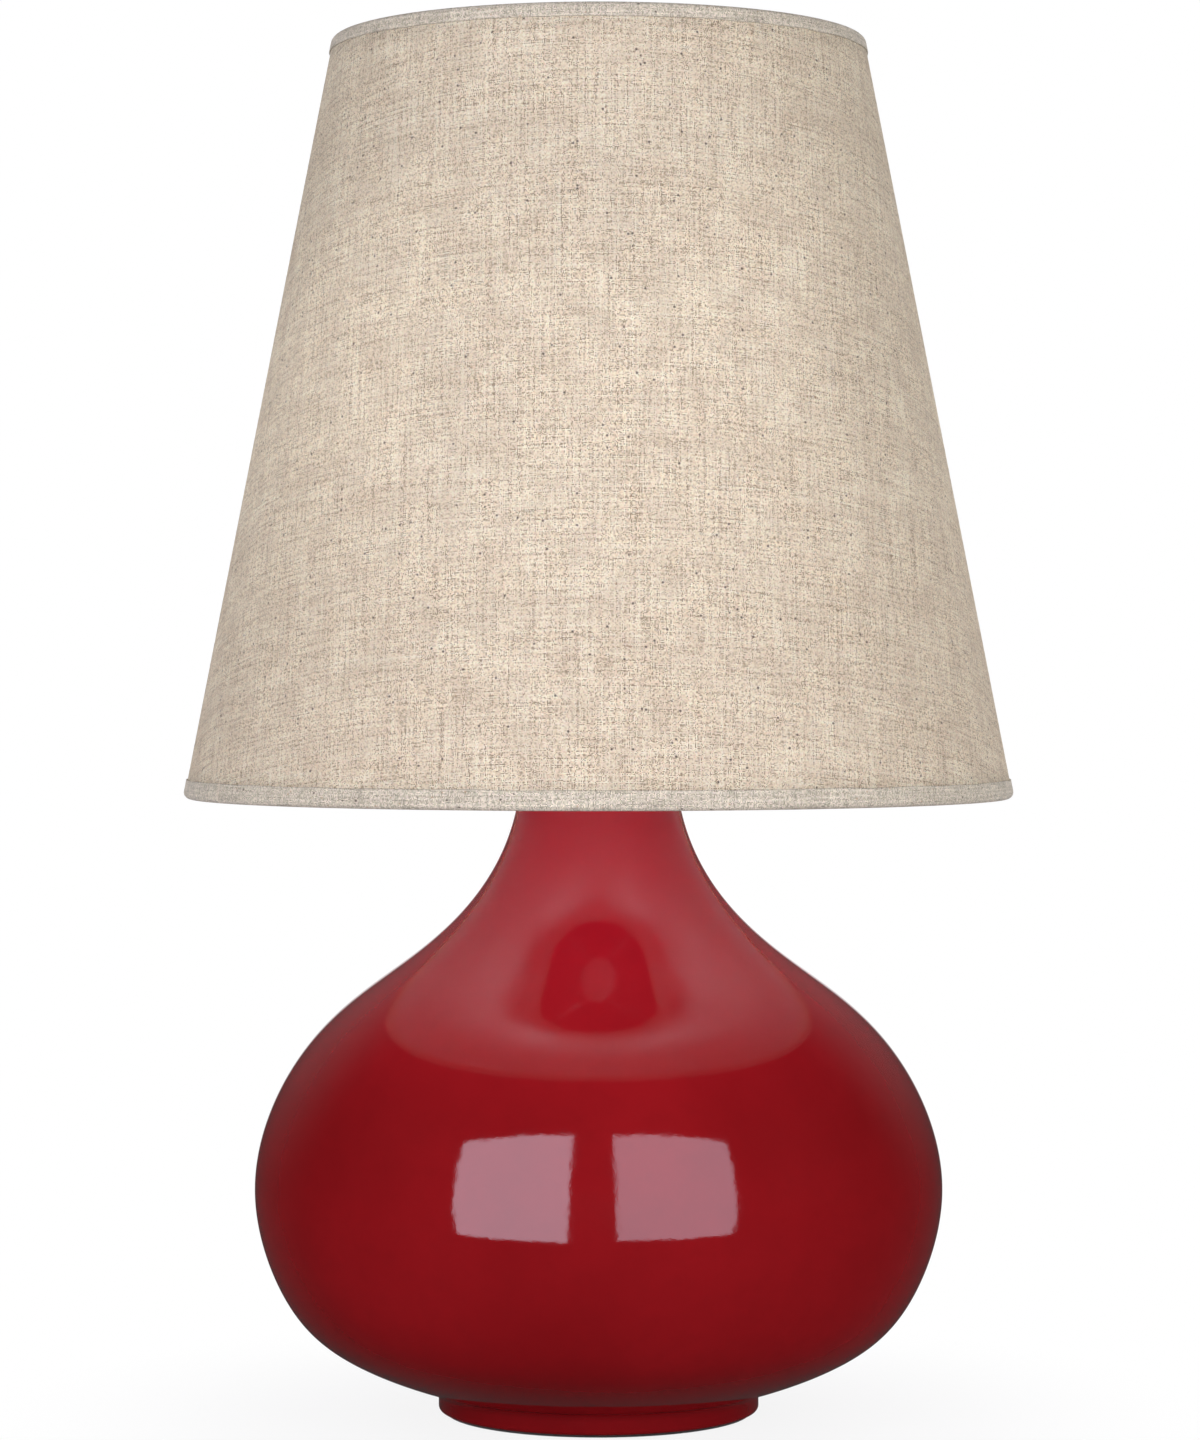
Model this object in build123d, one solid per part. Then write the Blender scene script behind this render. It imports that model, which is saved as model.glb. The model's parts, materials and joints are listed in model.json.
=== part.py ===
from build123d import *
import math
import os

# Driving dimensions, in millimetres, with z = 0 where the felt meets the table

# Ceramic body, heights counted from the underside of its foot
BODY_HEIGHT = 295.0
BELLY_HEIGHT = 96.0
BELLY_RADIUS = 148.0
NECK_RADIUS = 32.8
FOOT_RADIUS = 69.0
FOOT_WALL_HEIGHT = 5.6
FOOT_FILLET = 4.0
FOOT_SLOPE_ANGLE = 15.6
FOOT_HANDLE_LENGTH = 35.2
FOOT_EDGE_ROUND = 2.0
FOOT_RING_WIDTH = 9.0
RECESS_DEPTH = 15.0
WALL = 6.0
LIP_ROUND = 1.6
# Handles of the two outline curves, as shares from neck to belly and from foot to belly
SHOULDER_HANDLES = ((0, 0.769), (0, 0.622), (0.555, 0.384), (0.49, 0.539), (1, 0.302))
UNDERSIDE_HANDLES = ((1, 0.596), (0.728, 0.3), (0.731, 0.269))
CAVITY_SHARES = (0.08, 0.25, 0.45, 0.62, 0.78, 1.0)
CAVITY_LOW_SHARES = (0.3, 0.52, 0.68, 0.84)

# Felt pad and the cord bushing in the back of the body
FELT_THICKNESS = 1.2
FELT_INSET = 3.0
CORD_EXIT_SHARE = 0.5
BUSHING_RADIUS = 5.6
BUSHING_BORE = 3.6
BUSHING_FLANGE = 8.6
BUSHING_FLANGE_HEIGHT = 1.8
BUSHING_LIP = 0.5
BUSHING_LIP_LENGTH = 2.0
BUSHING_CURVE_ROOM = 0.6
BUSHING_PLAY = 0.3

# Threaded pipe through the body and what clamps it
PIPE_RADIUS = 5.0
PIPE_BORE = 3.4
PIPE_STICKOUT = 1.5
PIPE_HOLE_PLAY = 1.5
THREAD_PLAY = 0.1
NUT_FLATS = 16.0
NUT_HEIGHT = 4.0
STEEL_WASHER_RADIUS = 17.0
STEEL_WASHER_THICKNESS = 1.6
RUBBER_WASHER_RADIUS = 19.0
RUBBER_WASHER_THICKNESS = 2.0

# Metal cap on the neck and the turned spacer over it
CAP_SHEET = 1.0
CAP_SKIRT = 5.0
CAP_PLAY = 0.4
CAP_RISE = 7.0
CAP_SEAT_RADIUS = 12.0
CAP_DOME_RADIUS = 25.0
SPACER_HEIGHT = 28.0
SPACER_FOOT_RADIUS = 11.0
SPACER_WAIST_RADIUS = 7.2
SPACER_HEAD_RADIUS = 9.0
SPACER_FLANGE = 2.4
SPACER_FLARE = 5.0

# Harp, its saddle and its ferrules
HARP_HEIGHT = 229.0
HARP_WIRE_RADIUS = 2.0
HARP_LEG_X = 26.0
HARP_LEG_LENGTH = 42.0
HARP_HALF_WIDTH = 56.0
HARP_WIDEST_RISE = 75.0
HARP_TOP_HALF_RUN = 9.0
HARP_CROWN_SHARE = 0.6
HARP_SPLIT_GAP = 0.1
SADDLE_STRAP = 1.8
SADDLE_WIDTH = 12.0
SADDLE_EAR_WIDTH = 7.6
SADDLE_SHOULDER_HEIGHT = 12.0
SADDLE_BEND = 6.0
SADDLE_EAR_LENGTH = 14.0
FERRULE_HEIGHT = 16.0
FERRULE_WALL = 1.4
FERRULE_EDGE = 0.4
BLOCK_LENGTH = 14.0
BLOCK_WIDTH = 10.0
BLOCK_HEIGHT = 9.5
BLOCK_EDGE = 1.2
BLOCK_UNDER_WIRE = 1.2
RUN_FIT = 0.08

# Swivel stud on the harp, with the finial that screws on to it
STUD_SHANK_RADIUS = 2.4
STUD_SHANK_LENGTH = 3.4
STUD_FLANGE_RADIUS = 9.5
STUD_FLANGE_THICKNESS = 1.6
STUD_POST_RADIUS = 3.1
STUD_POST_HEIGHT = 10.0
STUD_POST_CHAMFER = 0.6
FINIAL_FLANGE_RADIUS = 7.0
FINIAL_FLANGE_THICKNESS = 2.0
FINIAL_BARREL_RADIUS = 4.8
FINIAL_BARREL_HEIGHT = 9.0
FINIAL_FLOOR = 0.6
FINIAL_COLLAR_RADIUS = 6.0
FINIAL_COLLAR_HEIGHT = 4.0
FINIAL_NECK_WALL = 0.8
FINIAL_BALL_RADIUS = 9.0
FINIAL_BALL_RISE = 12.0

# Bulb socket with its turn switch
SOCKET_NECK_RADIUS = 8.0
SOCKET_NECK_HEIGHT = 9.0
SOCKET_CUP_RADIUS = 17.8
SOCKET_CUP_HEIGHT = 22.0
SOCKET_CUP_WALL = 0.8
SOCKET_LEDGE_HEIGHT = 13.0
SOCKET_LEDGE_RADIUS = 12.0
SHELL_HEIGHT = 48.0
SHELL_WALL = 0.5
SHELL_BEAD = 0.7
SHELL_BEAD_HEIGHT = 1.4
SOCKET_PLAY = 0.2
LINER_WALL = 0.7
LINER_SHORT = 1.5
HOUSING_HEIGHT = 24.0
HOUSING_PLAY = 0.4
HOUSING_POCKET_RADIUS = 11.5
HOUSING_POCKET_DEPTH = 6.0
SCREW_SHELL_BORE = 13.4
SCREW_SHELL_WALL = 0.4
SCREW_SHELL_HEIGHT = 22.0
SCREW_SHELL_HOLE = 8.0
CONTACT_WIDTH = 5.0
CONTACT_LENGTH = 10.0
CONTACT_SHEET = 0.6
CONTACT_RISE = 3.0
TERMINAL_HEIGHT = 15.0
TERMINAL_FLAT = 12.4
TERMINAL_HEAD_RADIUS = 2.8
TERMINAL_HEAD_HEIGHT = 1.6
TERMINAL_SHANK_RADIUS = 1.5
TERMINAL_SHANK_LENGTH = 6.0
SCREW_SLOT_WIDTH = 0.8
SCREW_SLOT_DEPTH = 0.7
SET_SCREW_RADIUS = 1.5
SET_SCREW_HEIGHT = 4.5
SET_SCREW_STICKOUT = 1.2
SWITCH_HEIGHT = 15.0
SWITCH_SHAFT_RADIUS = 1.6
SWITCH_SHAFT_DEPTH = 6.0
SWITCH_SHAFT_PLAY = 0.6
SWITCH_KNOB_START = 20.5
SWITCH_KNOB_LENGTH = 14.0
SWITCH_KNOB_RADIUS = 5.0
SWITCH_KNOB_WAIST = 3.4
SWITCH_KNOB_BORE_DEPTH = 8.0
SWITCH_KNOB_ROUND = 1.2
SWITCH_FLUTES = 12
SWITCH_FLUTE_RADIUS = 0.7

# Light bulb
BULB_LENGTH = 109.0
BULB_RADIUS = 30.0
BULB_GLASS = 0.8
BULB_NECK_RADIUS = 12.4
BULB_NECK_RISE = 10.0
BULB_NECK_DEPTH = 5.0
BULB_NECK_HANDLE = 0.55
BULB_CAP_RADIUS = 13.0
BULB_CAP_WALL = 0.4
BULB_CAP_HEIGHT = 20.0
BULB_TIP_GAP = 0.3
BULB_TIP_RADIUS = 4.6
BULB_TIP_HEIGHT = 2.0
BULB_TIP_STEM_RADIUS = 2.4
BULB_TIP_STEM_LENGTH = 3.0
BULB_INSULATOR_HEIGHT = 4.0
BULB_INSULATOR_RADIUS = 10.5
BULB_INSULATOR_LIP = 5.4
STEM_FLARE_LENGTH = 10.0
STEM_RADIUS = 3.0
STEM_HEIGHT = 36.0
LEAD_RADIUS = 0.45
LEAD_REACH = 15.0
LEAD_RISE = 16.0
LEAD_SPREAD = 1.6
FILAMENT_RADIUS = 0.3
FILAMENT_SAG = 5.0

# Shade of linen over a stiff liner, on two wire rings and a spider
SHADE_TOP_RADIUS = 114.4
SHADE_BOTTOM_RADIUS = 177.4
SHADE_HEIGHT = 320.0
SPIDER_DROP = 28.0
LINEN = 0.6
SHADE_LINER = 0.4
TRIM = 0.65
TOP_TRIM_WIDTH = 3.9
BOTTOM_TRIM_WIDTH = 5.0
TRIM_ROLL = 2.1
TRIM_INNER_LEG = 1.8
TRIM_GLUE_START = 6.8
TRIM_GLUE_END = 9.0
RING_WIRE_RADIUS = 1.3
RING_INSET = 2.6
HUB_RADIUS = 15.0
HUB_THICKNESS = 1.6
ARM_RADIUS = 1.2
ARM_COUNT = 3
ARM_START = 9.0
ARM_BEND_RADIUS = 10.0
ARM_BEND_AT = 20.0
ARM_FIRST_ANGLE = 90.0
ARM_NOTCH_PLAY = 0.4
WELD_GAP = 0.05

# Levels that follow from the driving dimensions
FOOT_Z = FELT_THICKNESS
FOOT_TOP_Z = FOOT_Z + FOOT_WALL_HEIGHT
BELLY_Z = FOOT_Z + BELLY_HEIGHT
NECK_TOP_Z = FOOT_Z + BODY_HEIGHT
RECESS_Z = FOOT_Z + RECESS_DEPTH
RUBBER_Z = RECESS_Z - RUBBER_WASHER_THICKNESS
STEEL_Z = RUBBER_Z - STEEL_WASHER_THICKNESS
BOTTOM_NUT_Z = STEEL_Z - NUT_HEIGHT
PIPE_LOW_Z = BOTTOM_NUT_Z - PIPE_STICKOUT
CAP_SEAT_Z = NECK_TOP_Z + CAP_RISE
SADDLE_Z = CAP_SEAT_Z + SPACER_HEIGHT
SADDLE_NUT_Z = SADDLE_Z + SADDLE_STRAP
SHOULDER_Z = SADDLE_Z + SADDLE_SHOULDER_HEIGHT
SOCKET_Z = SADDLE_NUT_Z + NUT_HEIGHT
PIPE_TOP_Z = SOCKET_Z + SOCKET_NECK_HEIGHT + PIPE_STICKOUT
LEDGE_Z = SOCKET_Z + SOCKET_LEDGE_HEIGHT
HOUSING_TOP_Z = LEDGE_Z + HOUSING_HEIGHT
SWITCH_Z = LEDGE_Z + SWITCH_HEIGHT
TIP_Z = HOUSING_TOP_Z + CONTACT_RISE + BULB_TIP_GAP
BULB_CAP_Z = TIP_Z + BULB_TIP_HEIGHT + BULB_INSULATOR_HEIGHT
BULB_CAP_TOP_Z = BULB_CAP_Z + BULB_CAP_HEIGHT
BULB_TOP_Z = TIP_Z + BULB_LENGTH
BULB_CENTRE_Z = BULB_TOP_Z - BULB_RADIUS
STEM_Z = BULB_CAP_TOP_Z - BULB_NECK_DEPTH
STEM_TOP_Z = STEM_Z + STEM_HEIGHT
SEAT_Z = SADDLE_Z + HARP_HEIGHT
STUD_Z = SEAT_Z - STUD_FLANGE_THICKNESS
BLOCK_TOP_Z = STUD_Z - RUN_FIT
BLOCK_Z = BLOCK_TOP_Z - BLOCK_HEIGHT
HARP_TOP_Z = BLOCK_Z + BLOCK_UNDER_WIRE + HARP_WIRE_RADIUS
HUB_TOP_Z = SEAT_Z + HUB_THICKNESS
SHADE_TOP_Z = SEAT_Z + SPIDER_DROP
SHADE_BOTTOM_Z = SHADE_TOP_Z - SHADE_HEIGHT

# Radii that follow from the driving dimensions
PIPE_SEAT = PIPE_RADIUS + THREAD_PLAY
SHELL_RADIUS = SOCKET_CUP_RADIUS - SOCKET_CUP_WALL - SOCKET_PLAY
LINER_RADIUS = SHELL_RADIUS - SHELL_WALL - SOCKET_PLAY
HOUSING_RADIUS = LINER_RADIUS - LINER_WALL - HOUSING_PLAY
FERRULE_BORE = HARP_WIRE_RADIUS + RUN_FIT
SHADE_SLOPE = math.atan2(SHADE_BOTTOM_RADIUS - SHADE_TOP_RADIUS, SHADE_HEIGHT)

os.makedirs("parts", exist_ok=True)


def save(name, shape):
    """Writes one sub-part."""
    export_step(shape, f"parts/{name}.step")


def disc(radius, low, high):
    """An upright cylinder between two levels."""
    upright = (Align.CENTER, Align.CENTER, Align.MIN)
    return Pos(0, 0, low) * Cylinder(radius, high - low, align=upright)


def tube(outer, inner, low, high):
    """An upright tube between two levels."""
    return disc(outer, low, high) - disc(inner, low, high)


def turned(edges):
    """A solid of revolution about the lamp's axis from edges drawn as (radius, height)."""
    return revolve(Plane.XZ * make_face(edges), Axis.Z)


def turned_polygon(*points):
    """A solid of revolution with straight sides."""
    return turned(Polyline(*points, close=True).edges())


def inset(curve, share, depth):
    """The point that lies depth inside an outline curve that runs downwards."""
    point = curve.position_at(share)
    way = curve.tangent_at(share)
    return (point.X + depth * way.Y, point.Y - depth * way.X)


def hexagon_nut(low, hole):
    """A six-sided nut with its corners turned off above and below."""
    blank = Pos(0, 0, low) * extrude(RegularPolygon(NUT_FLATS / 2, 6, major_radius=False), NUT_HEIGHT)
    corner = NUT_FLATS / math.sqrt(3)
    flat = NUT_FLATS / 2
    cut = corner - flat
    rounder = turned_polygon(
        (0, low),
        (flat, low),
        (corner, low + cut / 2),
        (corner, low + NUT_HEIGHT - cut / 2),
        (flat, low + NUT_HEIGHT),
        (0, low + NUT_HEIGHT),
    )
    return (blank & rounder) - disc(hole, low, low + NUT_HEIGHT)


def body_curves():
    """The shoulder curve from neck to belly and the underside curve from belly to foot."""
    reach = BELLY_RADIUS - NECK_RADIUS
    drop = NECK_TOP_Z - BELLY_Z
    shoulder = [(NECK_RADIUS + f * reach, BELLY_Z + g * drop) for f, g in SHOULDER_HANDLES]
    slope = math.radians(FOOT_SLOPE_ANGLE)
    start_r = FOOT_RADIUS + FOOT_FILLET - FOOT_FILLET * math.sin(slope)
    start_z = FOOT_TOP_Z + FOOT_FILLET * math.cos(slope)
    wide = BELLY_RADIUS - start_r
    high = BELLY_Z - start_z
    underside = [(start_r + f * wide, start_z + g * high) for f, g in UNDERSIDE_HANDLES]
    run = FOOT_HANDLE_LENGTH * math.cos(slope)
    rise = FOOT_HANDLE_LENGTH * math.sin(slope)
    handle = (start_r + run, start_z + rise)
    upper = Bezier((NECK_RADIUS, NECK_TOP_Z), *shoulder, (BELLY_RADIUS, BELLY_Z))
    lower = Bezier((BELLY_RADIUS, BELLY_Z), *underside, handle, (start_r, start_z))
    return upper, lower


def cord_exit(lower):
    """The plane on the outside of the body, at the back, where the cord leaves it."""
    point = lower.position_at(CORD_EXIT_SHARE)
    way = lower.tangent_at(CORD_EXIT_SHARE)
    return Plane((0, point.X, point.Y), x_dir=(1, 0, 0), z_dir=(0, -way.Y, way.X))


def ceramic_body(upper, lower, exit_plane):
    """The hollow glazed body with its foot ring, lip and cord hole."""
    edge = FOOT_RADIUS - FOOT_EDGE_ROUND
    foot = [
        CenterArc(
            (FOOT_RADIUS + FOOT_FILLET, FOOT_TOP_Z),
            FOOT_FILLET,
            90 + FOOT_SLOPE_ANGLE,
            90 - FOOT_SLOPE_ANGLE,
        ),
        Line((FOOT_RADIUS, FOOT_TOP_Z), (FOOT_RADIUS, FOOT_Z + FOOT_EDGE_ROUND)),
        CenterArc((edge, FOOT_Z + FOOT_EDGE_ROUND), FOOT_EDGE_ROUND, 0, -90),
    ]
    core = Polyline((edge, FOOT_Z), (0, FOOT_Z), (0, NECK_TOP_Z), (NECK_RADIUS, NECK_TOP_Z))
    outside = turned([upper, lower, *foot, *core.edges()])
    mouth = NECK_RADIUS - WALL
    wall_points = [inset(upper, share, WALL) for share in CAVITY_SHARES]
    wall_points += [inset(lower, share, WALL) for share in CAVITY_LOW_SHARES]
    floor_r, floor_z = wall_points[-1]
    wall = Spline((mouth, NECK_TOP_Z), *wall_points)
    middle = Polyline((floor_r, floor_z), (0, floor_z), (0, NECK_TOP_Z), (mouth, NECK_TOP_Z))
    hollow = turned([wall, *middle.edges()])
    recess = disc(FOOT_RADIUS - FOOT_RING_WIDTH, FOOT_Z, RECESS_Z)
    pipe_hole = disc(PIPE_RADIUS + PIPE_HOLE_PLAY, FOOT_Z, BELLY_Z)
    cord_hole = exit_plane * disc(BUSHING_RADIUS + BUSHING_PLAY, -2 * WALL, WALL)
    body = outside - hollow - recess - pipe_hole - cord_hole
    lip = body.edges().filter_by(GeomType.CIRCLE).group_by(Axis.Z)[-1]
    return fillet(lip, LIP_ROUND)


def cord_bushing(exit_plane):
    """A flanged bushing that lines the cord hole, with a snap lip inside the wall."""
    inner_face = -(WALL + BUSHING_CURVE_ROOM)
    end = inner_face - BUSHING_LIP_LENGTH
    flange_z = BUSHING_CURVE_ROOM
    top = flange_z + BUSHING_FLANGE_HEIGHT
    lip = BUSHING_RADIUS + BUSHING_PLAY + BUSHING_LIP
    solid = turned_polygon(
        (BUSHING_BORE, end),
        (BUSHING_RADIUS, end),
        (lip, inner_face),
        (BUSHING_RADIUS, inner_face),
        (BUSHING_RADIUS, flange_z),
        (BUSHING_FLANGE, flange_z),
        (BUSHING_FLANGE, top),
        (BUSHING_BORE, top),
    )
    rims = solid.edges().filter_by(GeomType.CIRCLE).group_by(Axis.Z)[-1]
    return exit_plane * fillet(rims, BUSHING_FLANGE_HEIGHT / 3)


def vase_cap():
    """The spun metal cap that closes the neck, with a skirt round it and a raised seat."""
    skirt = NECK_RADIUS + CAP_PLAY
    outside = skirt + CAP_SHEET
    under_seat = CAP_SEAT_Z - CAP_SHEET
    plate_z = NECK_TOP_Z + CAP_SHEET
    half = (CAP_DOME_RADIUS + CAP_SEAT_RADIUS) / 2
    rim = Polyline(
        (CAP_DOME_RADIUS, NECK_TOP_Z),
        (skirt, NECK_TOP_Z),
        (skirt, NECK_TOP_Z - CAP_SKIRT),
        (outside, NECK_TOP_Z - CAP_SKIRT),
        (outside, plate_z),
        (CAP_DOME_RADIUS, plate_z),
    )
    dome = Bezier(
        (CAP_DOME_RADIUS, plate_z),
        (half, plate_z),
        (half, CAP_SEAT_Z),
        (CAP_SEAT_RADIUS, CAP_SEAT_Z),
    )
    seat = Polyline(
        (CAP_SEAT_RADIUS, CAP_SEAT_Z),
        (PIPE_SEAT, CAP_SEAT_Z),
        (PIPE_SEAT, under_seat),
        (CAP_SEAT_RADIUS, under_seat),
    )
    ceiling = Bezier(
        (CAP_SEAT_RADIUS, under_seat),
        (half, under_seat),
        (half, NECK_TOP_Z),
        (CAP_DOME_RADIUS, NECK_TOP_Z),
    )
    cap = turned([*rim.edges(), dome, *seat.edges(), ceiling])
    corner = cap.edges().filter_by(GeomType.CIRCLE).filter_by(lambda e: abs(e.radius - outside) < WELD_GAP)
    return fillet(corner.sort_by(Axis.Z)[-1], CAP_SHEET)


def neck_spacer():
    """The turned metal neck between the cap and the harp saddle."""
    low = CAP_SEAT_Z
    top = SADDLE_Z
    foot = Polyline((PIPE_SEAT, low), (SPACER_FOOT_RADIUS, low), (SPACER_FOOT_RADIUS, low + SPACER_FLANGE))
    flare_top = low + SPACER_FLANGE + SPACER_FLARE
    flare = Bezier(
        (SPACER_FOOT_RADIUS, low + SPACER_FLANGE),
        (SPACER_WAIST_RADIUS, low + SPACER_FLANGE),
        (SPACER_WAIST_RADIUS, flare_top),
    )
    head_z = top - SPACER_FLANGE
    head = Polyline(
        (SPACER_WAIST_RADIUS, flare_top),
        (SPACER_WAIST_RADIUS, head_z),
        (SPACER_HEAD_RADIUS, head_z),
        (SPACER_HEAD_RADIUS, top),
        (PIPE_SEAT, top),
        (PIPE_SEAT, low),
    )
    return turned([*foot.edges(), flare, *head.edges()])


def harp_saddle():
    """The bent strap under the socket, with a half-round ear at each end for the harp."""
    outside = HARP_LEG_X + SADDLE_STRAP / 2
    inside = HARP_LEG_X - SADDLE_STRAP / 2
    inner_z = SADDLE_Z + SADDLE_STRAP
    outer = FilletPolyline(
        (-outside, SHOULDER_Z),
        (-outside, SADDLE_Z),
        (outside, SADDLE_Z),
        (outside, SHOULDER_Z),
        radius=SADDLE_BEND,
    )
    inner = FilletPolyline(
        (-inside, SHOULDER_Z),
        (-inside, inner_z),
        (inside, inner_z),
        (inside, SHOULDER_Z),
        radius=SADDLE_BEND - SADDLE_STRAP,
    )
    ends = [Line((side * inside, SHOULDER_Z), (side * outside, SHOULDER_Z)) for side in (-1, 1)]
    profile = Plane.XZ * make_face([*outer.edges(), *inner.edges(), *ends])
    strap = extrude(profile, SADDLE_WIDTH / 2, both=True)
    full = SADDLE_WIDTH / 2
    narrow = SADDLE_EAR_WIDTH / 2
    taper_z = SADDLE_Z + SADDLE_BEND
    front = Polyline(
        (-full, SADDLE_Z),
        (full, SADDLE_Z),
        (full, taper_z),
        (narrow, SHOULDER_Z),
        (-narrow, SHOULDER_Z),
        (-full, taper_z),
        close=True,
    )
    saddle = strap & extrude(Plane.YZ * make_face(front.edges()), outside, both=True)
    saddle -= disc(PIPE_SEAT, SADDLE_Z, inner_z)
    for side in (-1, 1):
        saddle += half_round(side, -1)
    return saddle


def half_round(side, half):
    """Half of the wire's section over the ear's length, on the outer (+1) or inner (-1) half."""
    shift = half * HARP_SPLIT_GAP / 2
    rod = disc(HARP_WIRE_RADIUS, SHOULDER_Z, SHOULDER_Z + SADDLE_EAR_LENGTH)
    size = 2 * HARP_WIRE_RADIUS
    keep_z = SHOULDER_Z + SADDLE_EAR_LENGTH / 2
    keep = Pos(shift + half * HARP_WIRE_RADIUS, 0, keep_z) * Box(size, size, SADDLE_EAR_LENGTH)
    piece = Pos(HARP_LEG_X, 0, 0) * (rod & keep)
    return piece if side > 0 else mirror(piece, about=Plane.YZ)


def harp_bow():
    """The bent wire bow, flattened to half rounds where its ends meet the saddle's ears."""
    leg_start = SHOULDER_Z + SADDLE_EAR_LENGTH
    leg_end = SHOULDER_Z + HARP_LEG_LENGTH
    widest_z = leg_end + HARP_WIDEST_RISE
    swell = HARP_WIDEST_RISE / 2
    crown = (HARP_TOP_Z - widest_z) * HARP_CROWN_SHARE
    crown_x = HARP_HALF_WIDTH * HARP_CROWN_SHARE
    side = [
        Line((HARP_LEG_X, leg_start), (HARP_LEG_X, leg_end)),
        Bezier(
            (HARP_LEG_X, leg_end),
            (HARP_LEG_X, leg_end + swell),
            (HARP_HALF_WIDTH, widest_z - swell),
            (HARP_HALF_WIDTH, widest_z),
        ),
        Bezier(
            (HARP_HALF_WIDTH, widest_z),
            (HARP_HALF_WIDTH, widest_z + crown),
            (crown_x, HARP_TOP_Z),
            (HARP_TOP_HALF_RUN, HARP_TOP_Z),
        ),
    ]
    top = Line((HARP_TOP_HALF_RUN, HARP_TOP_Z), (-HARP_TOP_HALF_RUN, HARP_TOP_Z))
    other = [mirror(edge, about=Plane.YZ).edge() for edge in side]
    path = Plane.XZ * Wire([*side, top, *other])
    start = Plane((HARP_LEG_X, 0, leg_start), z_dir=(0, 0, 1))
    bow = sweep(start * Circle(HARP_WIRE_RADIUS), path=path)
    for ear in (-1, 1):
        bow += half_round(ear, 1)
    return bow


def harp_top_block():
    """The block on the harp's top run, bored for the wire and for the swivel stud."""
    middle_z = (BLOCK_Z + BLOCK_TOP_Z) / 2
    block = Pos(0, 0, middle_z) * Box(BLOCK_LENGTH, BLOCK_WIDTH, BLOCK_HEIGHT)
    block = chamfer(block.edges().filter_by(Axis.Z), BLOCK_EDGE)
    wire_hole = Pos(0, 0, HARP_TOP_Z) * Rot(0, 90, 0) * Cylinder(HARP_WIRE_RADIUS + WELD_GAP, BLOCK_LENGTH)
    stud_hole = disc(STUD_SHANK_RADIUS + RUN_FIT, BLOCK_TOP_Z - STUD_SHANK_LENGTH, BLOCK_TOP_Z)
    return block - wire_hole - stud_hole


def harp_stud():
    """The swivel stud: a shank in the block, a flange that carries the shade and a threaded post."""
    post_top = SEAT_Z + STUD_POST_HEIGHT
    shank_z = STUD_Z - STUD_SHANK_LENGTH
    return turned_polygon(
        (0, shank_z),
        (STUD_SHANK_RADIUS, shank_z),
        (STUD_SHANK_RADIUS, STUD_Z),
        (STUD_FLANGE_RADIUS, STUD_Z),
        (STUD_FLANGE_RADIUS, SEAT_Z),
        (STUD_POST_RADIUS, SEAT_Z),
        (STUD_POST_RADIUS, post_top - STUD_POST_CHAMFER),
        (STUD_POST_RADIUS - STUD_POST_CHAMFER, post_top),
        (0, post_top),
    )


def ferrule(side):
    """A sleeve that slides up the harp leg to free it from the saddle."""
    sleeve = tube(FERRULE_BORE + FERRULE_WALL, FERRULE_BORE, SHOULDER_Z, SHOULDER_Z + FERRULE_HEIGHT)
    rims = sleeve.edges().filter_by(GeomType.CIRCLE).group_by(SortBy.RADIUS)[-1]
    return Pos(side * HARP_LEG_X, 0, 0) * chamfer(rims, FERRULE_EDGE)


def socket_cap():
    """The cup that screws on to the pipe and holds the socket shell."""
    bore = SOCKET_CUP_RADIUS - SOCKET_CUP_WALL
    neck_top = SOCKET_Z + SOCKET_NECK_HEIGHT
    flare_z = LEDGE_Z - SOCKET_CUP_WALL
    cup_top = SOCKET_Z + SOCKET_CUP_HEIGHT
    cup = turned_polygon(
        (PIPE_SEAT, SOCKET_Z),
        (SOCKET_NECK_RADIUS, SOCKET_Z),
        (SOCKET_NECK_RADIUS, neck_top - SOCKET_CUP_WALL),
        (SOCKET_CUP_RADIUS, flare_z),
        (SOCKET_CUP_RADIUS, cup_top),
        (bore, cup_top),
        (bore, LEDGE_Z),
        (SOCKET_LEDGE_RADIUS, LEDGE_Z),
        (SOCKET_NECK_RADIUS, neck_top),
        (PIPE_SEAT, neck_top),
    )
    return cup - set_screw_place() * disc(SET_SCREW_RADIUS + THREAD_PLAY, 0, SOCKET_CUP_RADIUS)


def set_screw_place():
    """The plane on the pipe's surface from which the set screw points outwards."""
    return Plane((-PIPE_RADIUS, 0, SOCKET_Z + SET_SCREW_HEIGHT), x_dir=(0, 1, 0), z_dir=(-1, 0, 0))


def slotted(shape, top):
    """Cuts a screwdriver slot into the top of a screw that points upwards."""
    length = 4 * TERMINAL_HEAD_RADIUS
    return shape - Pos(0, 0, top) * Box(length, SCREW_SLOT_WIDTH, 2 * SCREW_SLOT_DEPTH)


def set_screw():
    """The headless screw that locks the socket cup on the pipe."""
    top = SOCKET_NECK_RADIUS - PIPE_RADIUS + SET_SCREW_STICKOUT
    return set_screw_place() * slotted(disc(SET_SCREW_RADIUS, WELD_GAP, top), top)


def switch_plane():
    """The plane on the lamp's axis from which the switch shaft points to the front."""
    return Plane((0, 0, SWITCH_Z), x_dir=(1, 0, 0), z_dir=(0, -1, 0))


def shaft_hole(radius):
    """The round way out for the switch shaft."""
    return switch_plane() * disc(radius, 0, SWITCH_KNOB_START)


def socket_shell():
    """The thin metal shell with a bead round its mouth."""
    top = LEDGE_Z + SHELL_HEIGHT
    shell = tube(SHELL_RADIUS, SHELL_RADIUS - SHELL_WALL, LEDGE_Z, top)
    shell += tube(SHELL_RADIUS + SHELL_BEAD, SHELL_RADIUS - SHELL_WALL, top - SHELL_BEAD_HEIGHT, top)
    return shell - shaft_hole(SWITCH_SHAFT_RADIUS + SWITCH_SHAFT_PLAY)


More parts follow.
